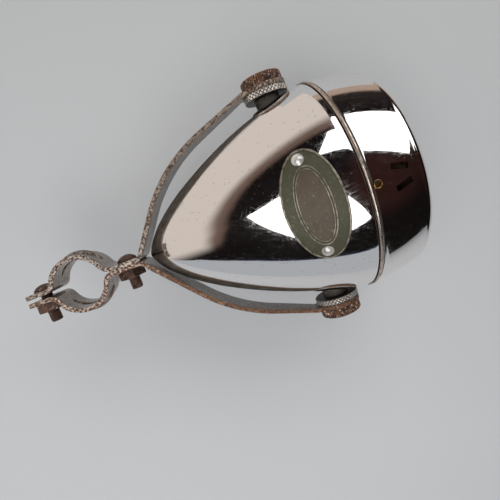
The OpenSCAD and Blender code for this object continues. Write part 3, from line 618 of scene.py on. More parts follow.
def strap_line(front_r, splay):
    """The mid line of a strap from its outer end, as x, y and heading in degrees."""
    s = sizes()
    half = s.strap_t / 2
    round_r = s.tube_d / 2 + half
    half_gap, end_reach, tight_r, past_disc = mm(0.8), mm(4.4), mm(3.5), math.radians(176)
    front_y, outer_y = half, half + half_gap

    def flare(y, r):
        across = math.sqrt((round_r + r) ** 2 - (y + r) ** 2)
        return across, math.degrees(math.atan2(y + r, across))

    def bend(centre, r, start, end, steps):
        lean = 90 if end > start else -90
        points = arc(centre, r, start, end, steps)
        return [(x, y, start + (end - start) * i / steps + lean) for i, (x, y) in enumerate(points)]

    def corner(at, a, b, r, steps):
        way = Vector((math.cos(math.radians(a)), math.sin(math.radians(a))))
        left = Vector((-way.y, way.x))
        side = 1 if b > a else -1
        centre = at - r * math.tan(math.radians(abs(b - a) / 2)) * way + side * r * left
        return bend(centre, r, a - side * 90, b - side * 90, steps)

    root = Vector((ROOT_X, front_y))
    pad = Vector((PAD_BEND_X, PAD_IN_Y + half))
    way_a = Vector((math.cos(math.radians(splay)), math.sin(math.radians(splay))))
    way_b = Vector((math.cos(math.radians(ARM_SLOPE)), math.sin(math.radians(ARM_SLOPE))))
    gap = pad - root
    knee = root + way_a * (gap.x * way_b.y - gap.y * way_b.x) / (way_a.x * way_b.y - way_a.y * way_b.x)
    outer_x, outer_a = flare(outer_y, tight_r)
    front_x, front_a = flare(front_y, front_r)
    pad_r, neck_half = s.strap_w / 2 + mm(0.3), s.arm_end_w / 2
    neck_turn = math.asin(neck_half / pad_r)
    turns = [neck_turn + (past_disc - neck_turn) * i / PAD_ROWS for i in range(PAD_ROWS + 1)]
    return (
        [(OUTER_BOLT_X - end_reach, outer_y, 0), (OUTER_BOLT_X, outer_y, 0)]
        + bend((-outer_x, outer_y + tight_r), tight_r, 270, 360 - outer_a, 10)
        + bend((0, 0), round_r, 180 - outer_a, front_a, 72)[1:-1]
        + bend((front_x, front_y + front_r), front_r, 180 + front_a, 270, 12)
        + corner(root, 0, splay, ROOT_BEND_R, 10)
        + corner(knee, splay, ARM_SLOPE, BOW_R, 30)
        + corner(pad, ARM_SLOPE, 0, PAD_BEND_R, 10)
        + [(PIVOT_X - pad_r * math.cos(turn), pad.y, 0) for turn in turns]
    )


def half_width(x):
    """Half of a strap's width at a place along the beam: full, then narrowing, then the round pad."""
    s = sizes()
    full, neck = s.strap_w / 2, s.arm_end_w / 2
    taper_x = ROOT_X + (PAD_BEND_X - ROOT_X) / 3
    arm = full + (neck - full) * min(1, max(0, (x - taper_x) / (PAD_BEND_X - taper_x)))
    pad_r = full + mm(0.3)
    off = x - PIVOT_X
    disc = math.sqrt(max(0, pad_r ** 2 - off ** 2))
    return max(arm, disc) if off < 0 else disc


def strap_columns():
    """Places across the strap, close together over the rib."""
    s = sizes()
    fine = [mm(0.4) * i for i in range(9)]
    coarse = [mm(4.6), mm(6.4), mm(8.2), s.strap_w / 2]
    right = fine + coarse
    return [-z for z in reversed(right[1:])] + right


def pressed_rib(point):
    """How far the pressed rib stands out of the clamp's round at a point."""
    s = sizes()
    half_turn, half_w = math.radians(57), mm(3)
    turn = abs(math.atan2(point.x, abs(point.y))) / half_turn
    if turn >= 1:
        return 0.0
    swell = (1 - turn ** 2) ** 0.6
    across = abs(point.z) / (half_w * swell)
    return s.rib_h * swell * (0.5 + 0.5 * math.cos(math.pi * across)) if across < 1 else 0.0


def strap(side, front_r):
    """A bent strap: a sheet drawn across from its mid line, pressed, thickened and rounded at its edges."""
    s = sizes()
    line = strap_line(front_r, ARM_SPLAY[side])
    half = s.strap_t / 2
    tube_r = s.tube_d / 2
    columns = strap_columns()
    bm = bmesh.new()
    row = []
    for x, y, heading in line:
        lean = math.radians(heading + 90)
        row.append(bm.verts.new((x - half * math.cos(lean), y - half * math.sin(lean), columns[0])))
    edges = [bm.edges.new(pair) for pair in zip(row, row[1:])]
    for low, high in zip(columns, columns[1:]):
        grown = bmesh.ops.extrude_edge_only(bm, edges=edges)["geom"]
        fresh = {g for g in grown if isinstance(g, bmesh.types.BMVert)}
        edges = [g for g in grown if isinstance(g, bmesh.types.BMEdge) and set(g.verts) <= fresh]
        bmesh.ops.translate(bm, vec=(0, 0, high - low), verts=list(fresh))
    for v in bm.verts:
        v.co.z *= half_width(v.co.x) / (s.strap_w / 2)
        radius = math.hypot(v.co.x, v.co.y)
        if radius < tube_r + mm(0.02):
            grown_r = (radius + pressed_rib(v.co)) / radius
            v.co.x, v.co.y = v.co.x * grown_r, v.co.y * grown_r
    bmesh.ops.recalc_face_normals(bm, faces=bm.faces)
    bm.faces.ensure_lookup_table()
    last = max(bm.faces, key=lambda face: face.calc_center_median().x)
    if last.normal.y > 0:
        bmesh.ops.reverse_faces(bm, faces=bm.faces)
    bmesh.ops.solidify(bm, geom=bm.faces[:], thickness=s.strap_t)
    bmesh.ops.recalc_face_normals(bm, faces=bm.faces)
    soften(bm, EDGE_ROUND)
    if side < 0:
        bmesh.ops.scale(bm, vec=(1, -1, 1), verts=bm.verts)
        bmesh.ops.recalc_face_normals(bm, faces=bm.faces)
    for face in bm.faces:
        middle = face.calc_center_median()
        round_pad = middle.x > line[-PAD_ROWS][0] and abs(face.normal.y) < 0.5
        at_end = middle.x < line[0][0] + mm(0.1) or round_pad
        face.material_index = 1 if abs(face.normal.z) > 0.5 or at_end else 0
    across = Matrix.Rotation(-math.pi / 2, 4, "X")
    holes = [
        placed(rod(s.bolt_d / 2 + PLAY, -mm(8), mm(8)), Matrix.Translation((x, 0, 0)) @ across)
        for x in (INNER_BOLT_X, OUTER_BOLT_X)
    ]
    pivot = rod(s.pivot_d / 2 + PLAY, PAD_IN_Y - PAST, PAD_IN_Y + s.strap_t + 2 * PAST)
    return cut(bm, *holes, placed(pivot, at_pivot(side)))


class LAMP_OT_straps(Operator):
    """Bends the two fork straps, with the rib pressed in each half of the clamp"""
    bl_idname = "lamp.straps"
    bl_label = "Fork straps"

    def execute(self, context):
        f = finishes()
        # The arms' broad faces turn darker and barely metallic: painted shade
        face = worn_nickel(
            "nickel_on_steel_shaded_arms", "#9C9188", f.strap_face, f.rust_dark,
            rust_share=0.6, depth=mm(0.015), shine=0.95, arm_shine=0.12,
        )
        left_edge = worn_nickel(
            "sheared_nickel_edge", f.nickel, f.nickel_left, "#4A3326",
            rust_share=0.46, depth=mm(0.08), shine=0.4, arm_shine=0.35,
        )
        right_edge = worn_nickel(
            "sheared_rusty_edge", f.nickel, f.nickel_brown, f.rust_orange,
            rust_share=0.44, depth=mm(0.08), shine=0.35, arm_shine=0.3,
        )
        for name, side, flare_r, edge in (
            ("left", 1, mm(6), left_edge), ("right", -1, mm(3.5), right_edge),
        ):
            bent = strap(side, flare_r)
            piece(f"{name}_strap_bent", bent, f"{name}_strap", "worn_nickel_steel", face, edge)
        return {"FINISHED"}


# Clamp bolts and nuts

def threaded(radius, low, high, pitch, depth):
    """A threaded rod about Z whose helix is pressed into its turned skin."""
    rows = int((high - low) / (pitch / 5))
    chamfer = mm(0.6)
    profile = [(0, low), (radius - chamfer, low)]
    profile += [(radius, low + chamfer + (high - low - chamfer) * i / rows) for i in range(rows + 1)]
    bm = turned(profile + [(0, high)], 36, closed=False)
    for v in bm.verts:
        r = math.hypot(v.co.x, v.co.y)
        if r > radius - mm(0.05):
            turn = v.co.z / pitch - math.atan2(v.co.y, v.co.x) / (2 * math.pi)
            groove = depth * (0.5 + 0.5 * math.cos(2 * math.pi * turn))
            v.co.x, v.co.y = v.co.x * (1 - groove / r), v.co.y * (1 - groove / r)
    return bm


def dented(bm, amount, width):
    """Moves each point a little by a seeded noise, as rust and wear do: the same dents in each run."""
    noise.seed_set(DENT_SEED)
    for v in bm.verts:
        v.co += noise.noise_vector(v.co / width) * amount
    return bm


def dome(r, height, low=0.0):
    """The height of a ball's cap by the distance from its middle: height there, and low at r."""
    ball = (r ** 2 + (height - low) ** 2) / (2 * (height - low))
    return lambda reach: height - ball + math.sqrt(ball ** 2 - reach ** 2)


def slotted_head():
    """A bolt's low round head with a rounded rim and a screwdriver slot, on Z = 0."""
    r, rim, steps = HEAD_D / 2, mm(0.7), 14
    crown = dome(r, HEAD_H, rim)
    profile = [(r * i / steps, crown(r * i / steps)) for i in range(steps)] + [
        (r - mm(0.08), rim + mm(0.12)), (r, rim - mm(0.1)), (r, mm(0.1)), (r - mm(0.1), 0), (0, 0)
    ]
    bm = turned(profile, 72, closed=False)
    slot = block(
        (-r - PAST, -HEAD_SLOT_W / 2, HEAD_H - HEAD_SLOT_DEPTH), (r + PAST, HEAD_SLOT_W / 2, HEAD_H + PAST)
    )
    return cut(bm, slot)


def clamp_bolt(x, seat):
    length = 2 * seat + NUT_H + BOLT_TAIL
    head = dented(slotted_head(), mm(0.05), mm(1.8))
    shank = threaded(sizes().bolt_d / 2, -length, -mm(0.01), mm(0.9), mm(0.35))
    upright = Matrix.Rotation(-math.pi / 2, 4, "X")
    return placed(joined(head, shank), Matrix.Translation((x, seat, 0)) @ upright)


def clamp_nut(x, seat, turn):
    s = sizes()
    half = s.nut_w / 2
    bm = block((-half, -half, 0), (half, half, NUT_H))
    soften(bm, mm(0.45), 3)
    long_edges = [e for e in bm.edges if e.calc_length() > mm(2)]
    bmesh.ops.subdivide_edges(bm, edges=long_edges, cuts=5, use_grid_fill=True)
    dented(bm, mm(0.09), mm(2.2))
    bm = cut(bm, rod(s.bolt_d / 2 + mm(0.05), -PAST, NUT_H + PAST))
    turns = Matrix.Rotation(math.pi / 2, 4, "X") @ Matrix.Rotation(turn, 4, "Z")
    return placed(bm, Matrix.Translation((x, -seat, 0)) @ turns)


class LAMP_OT_clamp_bolts(Operator):
    """Makes the clamp's two slotted bolts and their square nuts"""
    bl_idname = "lamp.clamp_bolts"
    bl_label = "Clamp bolts and nuts"

    def execute(self, context):
        steel = rusty_steel("brown_rusted_steel", finishes().rust_dark, "#64483A", 0.62)
        for name, x, seat, turn in (
            ("inner", INNER_BOLT_X, mm(2), math.radians(28)), ("outer", OUTER_BOLT_X, mm(2.8), 0.0),
        ):
            for kind, bm in (("bolt", clamp_bolt(x, seat)), ("nut", clamp_nut(x, seat, turn))):
                piece(f"{name}_{kind}_rusted", bm, f"{name}_clamp_{kind}", "rusty_steel", steel)
        return {"FINISHED"}


# Pivots

def ripple(turns):
    """A triangle wave: 0 in a groove and 1 on a ridge."""
    return abs(2 * (turns - math.floor(turns)) - 1)


def knurled(radius, low, high, crossed):
    """A knurled disc about Z: straight ridges, or crossed ones that leave diamonds."""
    s = sizes()
    depth, chamfer = mm(0.45), mm(0.4)
    rows, steepness = (22, 1.9) if crossed else (6, 1.4)
    rim = [(radius, low + chamfer + (high - low - 2 * chamfer) * i / rows) for i in range(rows + 1)]
    profile = [(0, low), (radius - chamfer, low)] + rim + [(radius - chamfer, high), (0, high)]
    count = s.diamond_count if crossed else s.knurl_count
    bm = turned(profile, count * (8 if crossed else 6), closed=False)
    for v in bm.verts:
        r = math.hypot(v.co.x, v.co.y)
        if r > radius - mm(0.05):
            turn = count * math.atan2(v.co.y, v.co.x) / (2 * math.pi)
            if crossed:
                rise = (v.co.z - low) / (2 * math.pi * radius / count)
                ridge = min(ripple(turn + rise), ripple(turn - rise))
            else:
                ridge = ripple(turn)
            shrink = 1 - depth * (1 - min(1, steepness * ridge)) / r
            v.co.x, v.co.y = v.co.x * shrink, v.co.y * shrink
    return bm


class LAMP_OT_pivots(Operator):
    """Makes the thumb screws, knurled collars and bosses of the tilt axis"""
    bl_idname = "lamp.pivots"
    bl_label = "Thumb screws and collars"

    def execute(self, context):
        s = sizes()
        rust = rusty_steel("orange_rusted_steel", "#2A1C16", "#784D33", 0.56)
        bright = knurled_nickel()
        dark = worn_nickel(
            "dull_boss_nickel", "#A0978E", "#A0978E", finishes().rust_dark,
            rust_share=0.6, depth=mm(0.03), shine=0.6, arm_shine=0.6,
        )
        top_y, shrink = THUMB_HIGH.y, mm(0.04)
        thumb_y = top_y - s.thumb_h
        dish_r, ball_r, dish_depth = 0.3 * s.thumb_d, mm(21), mm(0.8)
        dish_turn = math.degrees(math.asin(dish_r / ball_r))
        for side, name in ((1, "left"), (-1, "right")):
            head = knurled(s.thumb_d / 2 - shrink, thumb_y + shrink, top_y - shrink, False)
            bowl = arc((0, top_y + ball_r - dish_depth), ball_r, -90, dish_turn - 90, 10)
            lid_y = top_y + mm(3)
            head = cut(head, turned(bowl + [(dish_r, lid_y), (0, lid_y)], 96, closed=False))
            shank_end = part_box(f"{name}_thumb_screw")[0 if side > 0 else 1].y * side
            shank = rod(s.pivot_d / 2, shank_end, thumb_y + PAST)
            whole = placed(joined(dented(head, mm(0.03), mm(1.5)), shank), at_pivot(side))
            piece(f"{name}_thumb_screw_knurled", whole, f"{name}_thumb_screw", "rusty_thumb_steel", rust)
            ring = knurled(s.collar_d / 2, COLLAR_LOW.y, COLLAR_HIGH.y, True)
            ring = cut(ring, rod(s.pivot_d / 2 + PLAY, COLLAR_LOW.y - PAST, COLLAR_HIGH.y + PAST))
            ring = placed(ring, at_pivot(side))
            piece(f"{name}_collar_knurled", ring, f"{name}_collar", "nickel_plate", bright)
            dressed(f"{name}_boss_turned", f"{name}_pivot_boss", "nickel_plate", dark)
        return {"FINISHED"}


# Body, bezel and what sits on them

def body_profile():
    """The body's section: skin, rolled edge at the seam, stepped collar and inside."""
    s = sizes()
    gather = 1.7
    edge = mm(0.45)
    spigot_r, wall = spigot_radius(), s.sheet_t
    end_x = SEAM_X + SPIGOT_LEN

    def skin(inset, tail_x, seam_x, steps):
        return [
            (body_radius(x, inset), x)
            for x in (tail_x + (seam_x - tail_x) * (i / steps) ** gather for i in range(steps + 1))
        ]

    rolled = arc((s.body_d / 2 - edge, SEAM_X - edge), edge, 20, 80, 3)
    collar = [
        (spigot_r + mm(0.1), SEAM_X), (spigot_r, SEAM_X + mm(0.1)), (spigot_r, end_x - mm(0.2)),
        (spigot_r - mm(0.2), end_x), (spigot_r - wall, end_x), (spigot_r - wall, SEAM_X - wall),
    ]
    inside = skin(wall, TAIL_X + wall, SEAM_X - wall, 60)[::-1]
    return skin(0.0, TAIL_X, SEAM_X - edge, 120) + rolled + collar + inside


def spigot_radius():
    """Radius of the stepped collar, from the bezel that slides over it."""
    return bezel_radius(SEAM_X + SPIGOT_LEN) - sizes().sheet_t - mm(0.3)


def face_inside(bm):
    """Gives the second finish to the faces that look at the beam's axis."""
    for face in bm.faces:
        middle = face.calc_center_median()
        outward = Vector((0, middle.y, middle.z)).normalized()
        face.material_index = 1 if face.normal.dot(outward) < -0.15 else 0
    return bm


def shared(name, make):
    """A material that several pieces wear, made once."""
    return bpy.data.materials.get(name) or make()


# Bare brass inside the shells and on the reflector's back, made very dark: dull brass and painted shade
# inside the lamp
def shaded_brass_inside():
    return satin_metal("bare_brass_painted_shade", "#352B1E", "#15110D", 0.5)


def crease_shade():
    """Painted shade in a crease: dark, dull and brown."""
    return dull_matt("crease_painted_shade", "#2B2420", "#4A4038", 0.7, mm(0.4), mm(0.02))


# The places of the third and fourth finish on a plated shell
CREASE_SHADE, RUBBED = 2, 3


def plated_brass():
    """What both plated shells wear: chrome outside, bare brass inside, darkened by painted shade, and painted
    shade in their creases.
    """
    return [
        shared("polished_chrome_plate", chrome_plate), shared("bare_brass_painted_shade", shaded_brass_inside),
        shared("crease_painted_shade", crease_shade),
    ]


def in_band(bm, low, high, finish_index):
    """Gives the outer faces between two places along the lamp another finish."""
    for face in bm.faces:
        if low < face.calc_center_median().x < high and face.material_index == 0:
            face.material_index = finish_index


class LAMP_OT_body(Operator):
    """Spins the bullet-shaped body with its stepped collar and its holes"""
    bl_idname = "lamp.body"
    bl_label = "Body"

    def execute(self, context):
        bm = placed(turned(body_profile(), closed=False), ALONG_BEAM)
        half_w, reach, deep = mm(1.55), mm(3), mm(4)
        near, far = mm(36), mm(56)
        inlet = on_skin(INLET_X, math.pi, body_radius(INLET_X), body_slope(INLET_X))
        screw = on_skin(SCREW_X, -sizes().crown_lean, spigot_radius())
        holes = [placed(rod(BOSS_HOLE_R, near, far), at_pivot(side)) for side in (1, -1)] + [
            placed(rod(INLET_HOLE_R, -deep, deep), inlet),
            placed(block((-half_w, -half_w, -reach), (SPIGOT_LEN, half_w, reach)), screw),
        ]
        bm = face_inside(cut(bm, *holes))
        # A dark band of painted shade in the crease at the seam
        in_band(bm, SEAM_X - mm(0.4), SEAM_X + mm(0.05), CREASE_SHADE)
        piece("body_spun", bm, "body_shell", "plated_brass", *plated_brass())
        return {"FINISHED"}


def bezel_profile():
    """The bezel's section: rolled bead, side, rounded corner, lip and inside."""
    s = sizes()
    wall, bead_r = s.sheet_t, s.rim_bead_r
    bead_x, bead_y = BEZEL_X + bead_r, s.body_d / 2 + mm(0.1) - wall + bead_r
    corner_x = FRONT_X - s.corner_len
    open_r = front_open_radius()
    side_x = bead_x + bead_r + BEAD_GROOVE

    def side(inset, steps):
        places = [side_x + (corner_x - side_x) * i / steps for i in range(steps + 1)]
        return [(bezel_radius(x) - inset, x) for x in places]

    def corner(inset, steps):
        turns = [math.radians(90 * i / steps) for i in range(steps)]
        return [
            (open_r + (s.corner_w - inset) * math.cos(a), corner_x + (s.corner_len - inset) * math.sin(a))
            for a in turns
        ]

    lip = [
        (open_r + mm(0.15), FRONT_X - mm(0.15)), (open_r, FRONT_X - mm(0.5)),
        (open_r + mm(0.15), FRONT_X - mm(0.85)), (open_r + mm(0.5), FRONT_X - wall),
    ]
    outside = arc((bead_y, bead_x), bead_r, -180, 60, 16) + side(0.0, 34) + corner(0.0, 26)[1:]
    return outside + lip + corner(wall, 12)[::-1] + side(wall, 12)[-2::-1]


class LAMP_OT_bezel(Operator):
    """Spins the bezel with its rolled rear bead and cuts its two vents"""
    bl_idname = "lamp.bezel"
    bl_label = "Bezel"

    def execute(self, context):
        s = sizes()
        bm = placed(turned(bezel_profile()), ALONG_BEAM)
        half_l, half_w, reach = mm(3.5), mm(1.15), mm(3)
        holes = [placed(rod(SCREW_HOLE_R, -reach, reach), on_skin(SCREW_X, -s.crown_lean, s.body_d / 2))]
        for side in (-1, 1):
            slot = block((-half_l, -half_w, -reach), (half_l, half_w, reach))
            upright = [e for e in slot.edges if abs((e.verts[0].co - e.verts[1].co).normalized().z) > 0.9]
            bmesh.ops.bevel(
                slot, geom=upright, offset=mm(0.35), segments=3, profile=0.5, affect="EDGES", material=-1
            )
            aside = Matrix.Translation((0, side * half_l, 0))
            turn = aside @ Matrix.Rotation(-side * math.radians(14), 4, "Z")
            holes.append(placed(slot, on_skin(VENT_X, -s.crown_lean, bezel_radius(VENT_X)) @ turn))
        bm = face_inside(cut(bm, *holes))
        bead_end = BEZEL_X + 2 * s.rim_bead_r
        in_band(bm, BEZEL_X - mm(0.1), bead_end - mm(0.1), RUBBED)
        # A dark band of painted shade in the groove beside the bead
        in_band(bm, bead_end - mm(0.1), bead_end + BEAD_GROOVE, CREASE_SHADE)
        rubbed = satin_metal("rubbed_bead", "#CDBFB2", "#8F8378", 0.24)
        piece("bezel_spun", bm, "bezel", "plated_brass", *plated_brass(), rubbed)
        return {"FINISHED"}


def skin_point(local, x, y, height):
    """The point at a height above the body's skin that lies under (x, y) of a place on it."""
    low, high = -mm(12), mm(6)
    for _ in range(40):  # halves the span each time
        middle = (low + high) / 2
        point = local @ Vector((x, y, middle))
        if math.hypot(point.y, point.z) < body_radius(min(point.x, SEAM_X)) + height:
            low = middle
        else:
            high = middle
    return local @ Vector((x, y, (low + high) / 2))


def plate_rings():
    """The plate's rings from its middle outwards and back underneath: inset, height and finish."""
    s = sizes()
    floor, border, line = s.plate_t, s.plate_t + mm(0.35), s.plate_t + mm(0.25)
    half = s.plate_w / 2
    middle = [(half - mm(d), floor, 0) for d in (1, 2.4, 3.8, 5.2)]
    inner_line = [(mm(d), h, m) for d, h, m in (
        (6.35, floor, 0), (6.2, line, 2), (5.95, line, 2), (5.75, floor + mm(0.08), 1),
        (5.45, floor + mm(0.08), 1), (5.25, line, 2), (5.0, line, 2), (4.85, floor, 2),
    )]
    band = [(mm(d), floor, 1) for d in (3.9, 2.9, 1.9, 1.1)]
    rim = [(mm(d), h, m) for d, h, m in (
        (0.85, floor, 1), (0.72, border - mm(0.05), 2), (0.6, border, 2), (0.28, border, 2),
        (0.1, border - mm(0.09), 2), (0, border - mm(0.28), 2), (0, 0, 2), (1.2, 0, 2), (6, 0, 2), (11, 0, 2),
    )]
    return middle + inner_line + band + rim


def plate_bm():
    s = sizes()
    rings = plate_rings()
    bm = bmesh.new()
    bmesh.ops.create_circle(bm, cap_ends=True, cap_tris=True, radius=1, segments=160)
    edges = [e for e in bm.edges if e.is_boundary]
    for ring in range(2, len(rings) + 1):
        grown = bmesh.ops.extrude_edge_only(bm, edges=edges)["geom"]
        fresh = {g for g in grown if isinstance(g, bmesh.types.BMVert)}
        edges = [g for g in grown if isinstance(g, bmesh.types.BMEdge) and set(g.verts) <= fresh]
        bmesh.ops.scale(bm, vec=(ring / (ring - 1),) * 3, verts=list(fresh))
    for face in bm.faces:
        outer = max(round(v.co.to_2d().length) for v in face.verts)
        face.material_index = rings[outer - 1][2]
    local = on_skin(PLATE_X, -s.crown_lean, body_radius(PLATE_X), body_slope(PLATE_X))
    half_w, half_l = s.plate_w / 2, s.plate_span / 2
    for v in bm.verts:
        ring = round(v.co.to_2d().length)
        if ring == 0:
            v.co = skin_point(local, 0, 0, rings[0][1])
            continue
        inset, height, _ = rings[ring - 1]
        turn = math.atan2(v.co.y, v.co.x)
        end_inset = inset * (1 + 0.22 * smooth_step(inset / mm(6)))
        if inset > mm(7):
            end_inset = half_l * inset / half_w
        x, y = (half_w - inset) * math.cos(turn), (half_l - end_inset) * math.sin(turn)
        v.co = skin_point(local, x, y, height)
    bmesh.ops.holes_fill(bm, edges=[e for e in bm.edges if e.is_boundary], sides=0)
    bmesh.ops.recalc_face_normals(bm, faces=bm.faces)
    return bm


def rivet_places():
    """The two rivets' places, and how far round the skin they lean."""
    s = sizes()
    border, space = mm(0.8), mm(0.25)
    inset = border + space + RIVET_R
    lean = math.asin((s.plate_span / 2 - inset) / (body_radius(PLATE_X) + s.plate_t))
    return [
        on_skin(PLATE_X, -s.crown_lean + side * lean, body_radius(PLATE_X), body_slope(PLATE_X))
        for side in (-1, 1)
    ]


class LAMP_OT_nameplate(Operator):
    """Makes the bare oval plate and its two domed rivets"""
    bl_idname = "lamp.nameplate"
    bl_label = "Bare plate and rivets"

    def execute(self, context):
        s, f = sizes(), finishes()
        middle = plate_enamel("dulled_bronze", f.bronze, "#8A7D6B")
        band = plate_enamel("worn_green_enamel", f.enamel, "#7C766A")
        metal = satin_metal("stamped_plate_metal", f.plate_edge, "#5E574C", 0.42)
        piece("oval_plate", plate_bm(), "nameplate", "plate_enamel", middle, band, metal)
        crown = dome(RIVET_R, RIVET_H)
        profile = [(RIVET_R * i / 16, s.plate_t + crown(RIVET_R * i / 16)) for i in range(17)] + [
            (RIVET_SHANK_R, s.plate_t), (RIVET_SHANK_R, -s.sheet_t), (RIVET_FOOT_R, -s.sheet_t),
            (RIVET_FOOT_R, -s.sheet_t - mm(0.8)), (0, -s.sheet_t - mm(0.8)),
        ]
        heads = [placed(turned(profile, 64, closed=False), place) for place in rivet_places()]
        bright = worn_nickel(
            "peened_aluminium", "#E4E0DC", "#E4E0DC", "#8E8780",
            rust_share=0.64, depth=mm(0.03), shine=0.5, arm_shine=0.5,
        )
        piece("plate_rivets_domed", joined(*heads), "nameplate_rivets", "rivet_aluminium", bright)
        return {"FINISHED"}


class LAMP_OT_small_fittings(Operator):
    """Makes the rubber grommet and the slotted rim screw"""
    bl_idname = "lamp.small_fittings"
    bl_label = "Grommet and rim screw"

    def execute(self, context):
        s, f = sizes(), finishes()
        groove, flange = mm(2.5086), mm(1.6)
        neck, rim, bore, edge = mm(3.75), mm(5.5), mm(1.75), mm(0.5)
        base, ease = -groove - flange, mm(0.4)

        def rounded(low, high):
            lower = arc((rim - edge, low + edge), edge, -90, 0, 3)
            return [(neck, low)] + lower + arc((rim - edge, high - edge), edge, 0, 90, 3) + [(neck, high)]

        profile = [(bore, base)] + rounded(base, base + flange) + rounded(0, flange)
        profile += [(bore + ease, flange), (bore, flange - ease)]
        rubber = dull_matt("black_rubber_moulded", f.rubber, "#343230", 0.62, mm(0.3), mm(0.02))
        place = on_skin(INLET_X, math.pi, body_radius(INLET_X), body_slope(INLET_X))
        grommet = placed(turned(profile, 96), place)
        piece("grommet_moulded", grommet, "cable_grommet", "black_rubber", rubber)
        brass = satin_metal("aged_brass", f.brass, "#4A3520", 0.28)
        # The screw's radius and height, in millimetres: a dished, rounded head on a plain shank
        section = (
            (0, 0.5), (0.85, 0.48), (1.0, 0.36), (1.15, 0.5), (1.45, 0.62), (1.68, 0.5), (1.8, 0.2), (1.8, 0),
            (1.2, 0), (1.2, -5), (0, -5),
        )
        head_r = section[7][0]
        screw = turned([(mm(r), mm(height)) for r, height in section], 64, closed=False)
        slot = block((-mm(1.1), -mm(0.35), mm(0.05)), (mm(1.1), mm(0.35), mm(2)))
        place = on_skin(SCREW_X, -s.crown_lean, bezel_radius(SCREW_X - mm(head_r)))
        place @= Matrix.Rotation(math.radians(35), 4, "Z")
        piece("rim_screw_slotted", placed(cut(screw, slot), place), "rim_screw", "aged_brass", brass)
        return {"FINISHED"}


# Optics

def lens_profile():
    """The lens's section, between the two points where it meets the axis."""
    low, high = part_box("lens")
    rim_r, rear_x, thick, ease, steps = high.y, low.x, mm(3), mm(0.2), 30
    dome_r = front_open_radius() - mm(0.5)
    crown = dome(dome_r, mm(2.4))
    face = [(dome_r * i / steps, rear_x + crown(dome_r * i / steps)) for i in range(steps + 1)]
    rim = [
        (rim_r - ease, rear_x), (rim_r, rear_x + ease), (rim_r, rear_x + thick - ease),
        (rim_r - ease, rear_x + thick),
    ]
    return face + rim + [(r, x + thick) for r, x in face[::-1]]


def front_open_radius():
    s = sizes()
    return bezel_radius(FRONT_X - s.corner_len) - s.corner_w


class LAMP_OT_optics(Operator):
    """Makes the lens, its gasket, the reflector and the spring ring"""
    bl_idname = "lamp.optics"
    bl_label = "Lens and reflector"

    def execute(self, context):
        glass = clear_glass("pressed_lens_glass", "#FCFFFD")
        lens_bm = placed(turned(lens_profile(), 192, closed=False), ALONG_BEAM)
        piece("lens_pressed", lens_bm, "lens", "lens_glass", glass)
        rubber = bpy.data.materials.get("black_rubber_moulded")
        dressed("gasket_ring", "lens_gasket", "black_rubber", rubber)
        silver = satin_metal("silvered_brass", "#F2EEE6", "#C9BFAE", 0.05)
        mirror = placed(turned(reflector_profile(), 192), ALONG_BEAM)
        # The reflector's back wears the dark inside brass: painted shade
        for face in mirror.faces:
            face.material_index = 1 if face.normal.x < -0.05 else 0
        inside = shared("bare_brass_painted_shade", shaded_brass_inside)
        piece("reflector_spun", mirror, "reflector", "silvered_reflector", silver, inside)
        wire = satin_metal("spring_steel_wire", "#8D8A86", "#4C4038", 0.3)
        dressed("spring_ring_wire", "spring_ring", "spring_wire", wire)
        return {"FINISHED"}


def reflector_profile():
    """The reflector's section: neck, paraboloid and flat flange."""
    low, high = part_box("reflector")
    wall, focal = mm(0.8), mm(12)
    mouth_x = high.x
    flange_r = high.y
    mouth_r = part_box("lens")[1].y - mm(1)
    vertex_x = mouth_x - wall - mouth_r ** 2 / (4 * focal)
    neck_r = mm(7.15)
    steps = 48

    def bowl(shift, start):
        return [
            (r, vertex_x - shift + r ** 2 / (4 * focal))
            for r in (start + (mouth_r - start) * i / steps for i in range(steps + 1))
        ]

    shift = wall * math.sqrt(1 + (mouth_r / (2 * focal)) ** 2)
    return (
        [(neck_r, low.x)] + bowl(0, neck_r)
        + [(mouth_r, mouth_x), (flange_r, mouth_x), (flange_r, mouth_x - wall)]
        + [(mouth_r + shift * 2 * focal / mouth_r, mouth_x - wall)]
        + bowl(shift, neck_r + wall)[::-1] + [(neck_r + wall, low.x)]
    )


class LAMP_OT_bulb(Operator):
    """Dresses the bulb, its holder and the contact"""
    bl_idname = "lamp.bulb"
    bl_label = "Bulb and holder"

    def execute(self, context):
        brass = bpy.data.materials.get("aged_brass")
        for node, name in (
            ("bulb_holder", "holder_turned"), ("contact_blade", "blade_bent"),
            ("terminal_screw", "terminal_turned"), ("terminal_nut", "terminal_nut_square"),
            ("bulb_cap", "cap_pressed"),
        ):
            dressed(name, node, "aged_brass", brass)
        fibre = dull_matt("red_vulcan_fibre", "#6B2F22", "#8A4A36", 0.6, mm(0.3), mm(0.03))
        black = dull_matt("black_glass_seal", "#0E0D0C", "#1E1B19", 0.15, mm(0.6), mm(0.01))
        solder = satin_metal("soft_solder", "#A8A6A2", "#6E6A65", 0.34)
        glass = clear_glass("blown_bulb_glass", "#FFFFFF")
        wire = satin_metal("tungsten_and_lead_wire", "#77736E", "#3E3A36", 0.35)
        for node, name, slot, material in (
            ("contact_insulator", "insulator_fibre", "red_fibre", fibre),
            ("bulb_insulator", "seal_black", "black_vitrite", black),
            ("bulb_contact", "contact_solder", "solder", solder),
            ("bulb_glass", "globe_blown", "bulb_glass", glass),
            ("bulb_filament", "filament_mounted", "filament_wire", wire),
        ):
            dressed(name, node, slot, material)
        return {"FINISHED"}


# Stage

# The photo's camera: its place in millimetres, its right and up, and its lens on a frame 36 mm wide
CAMERA_PLACE = (70.146, 8.02, 186.626)
CAMERA_RIGHT = (0.9334, -0.3505, 0.0776)
CAMERA_UP = (0.3569, 0.929, -0.0975)
CAMERA_LENS, FRAME_W = 28.07, 36

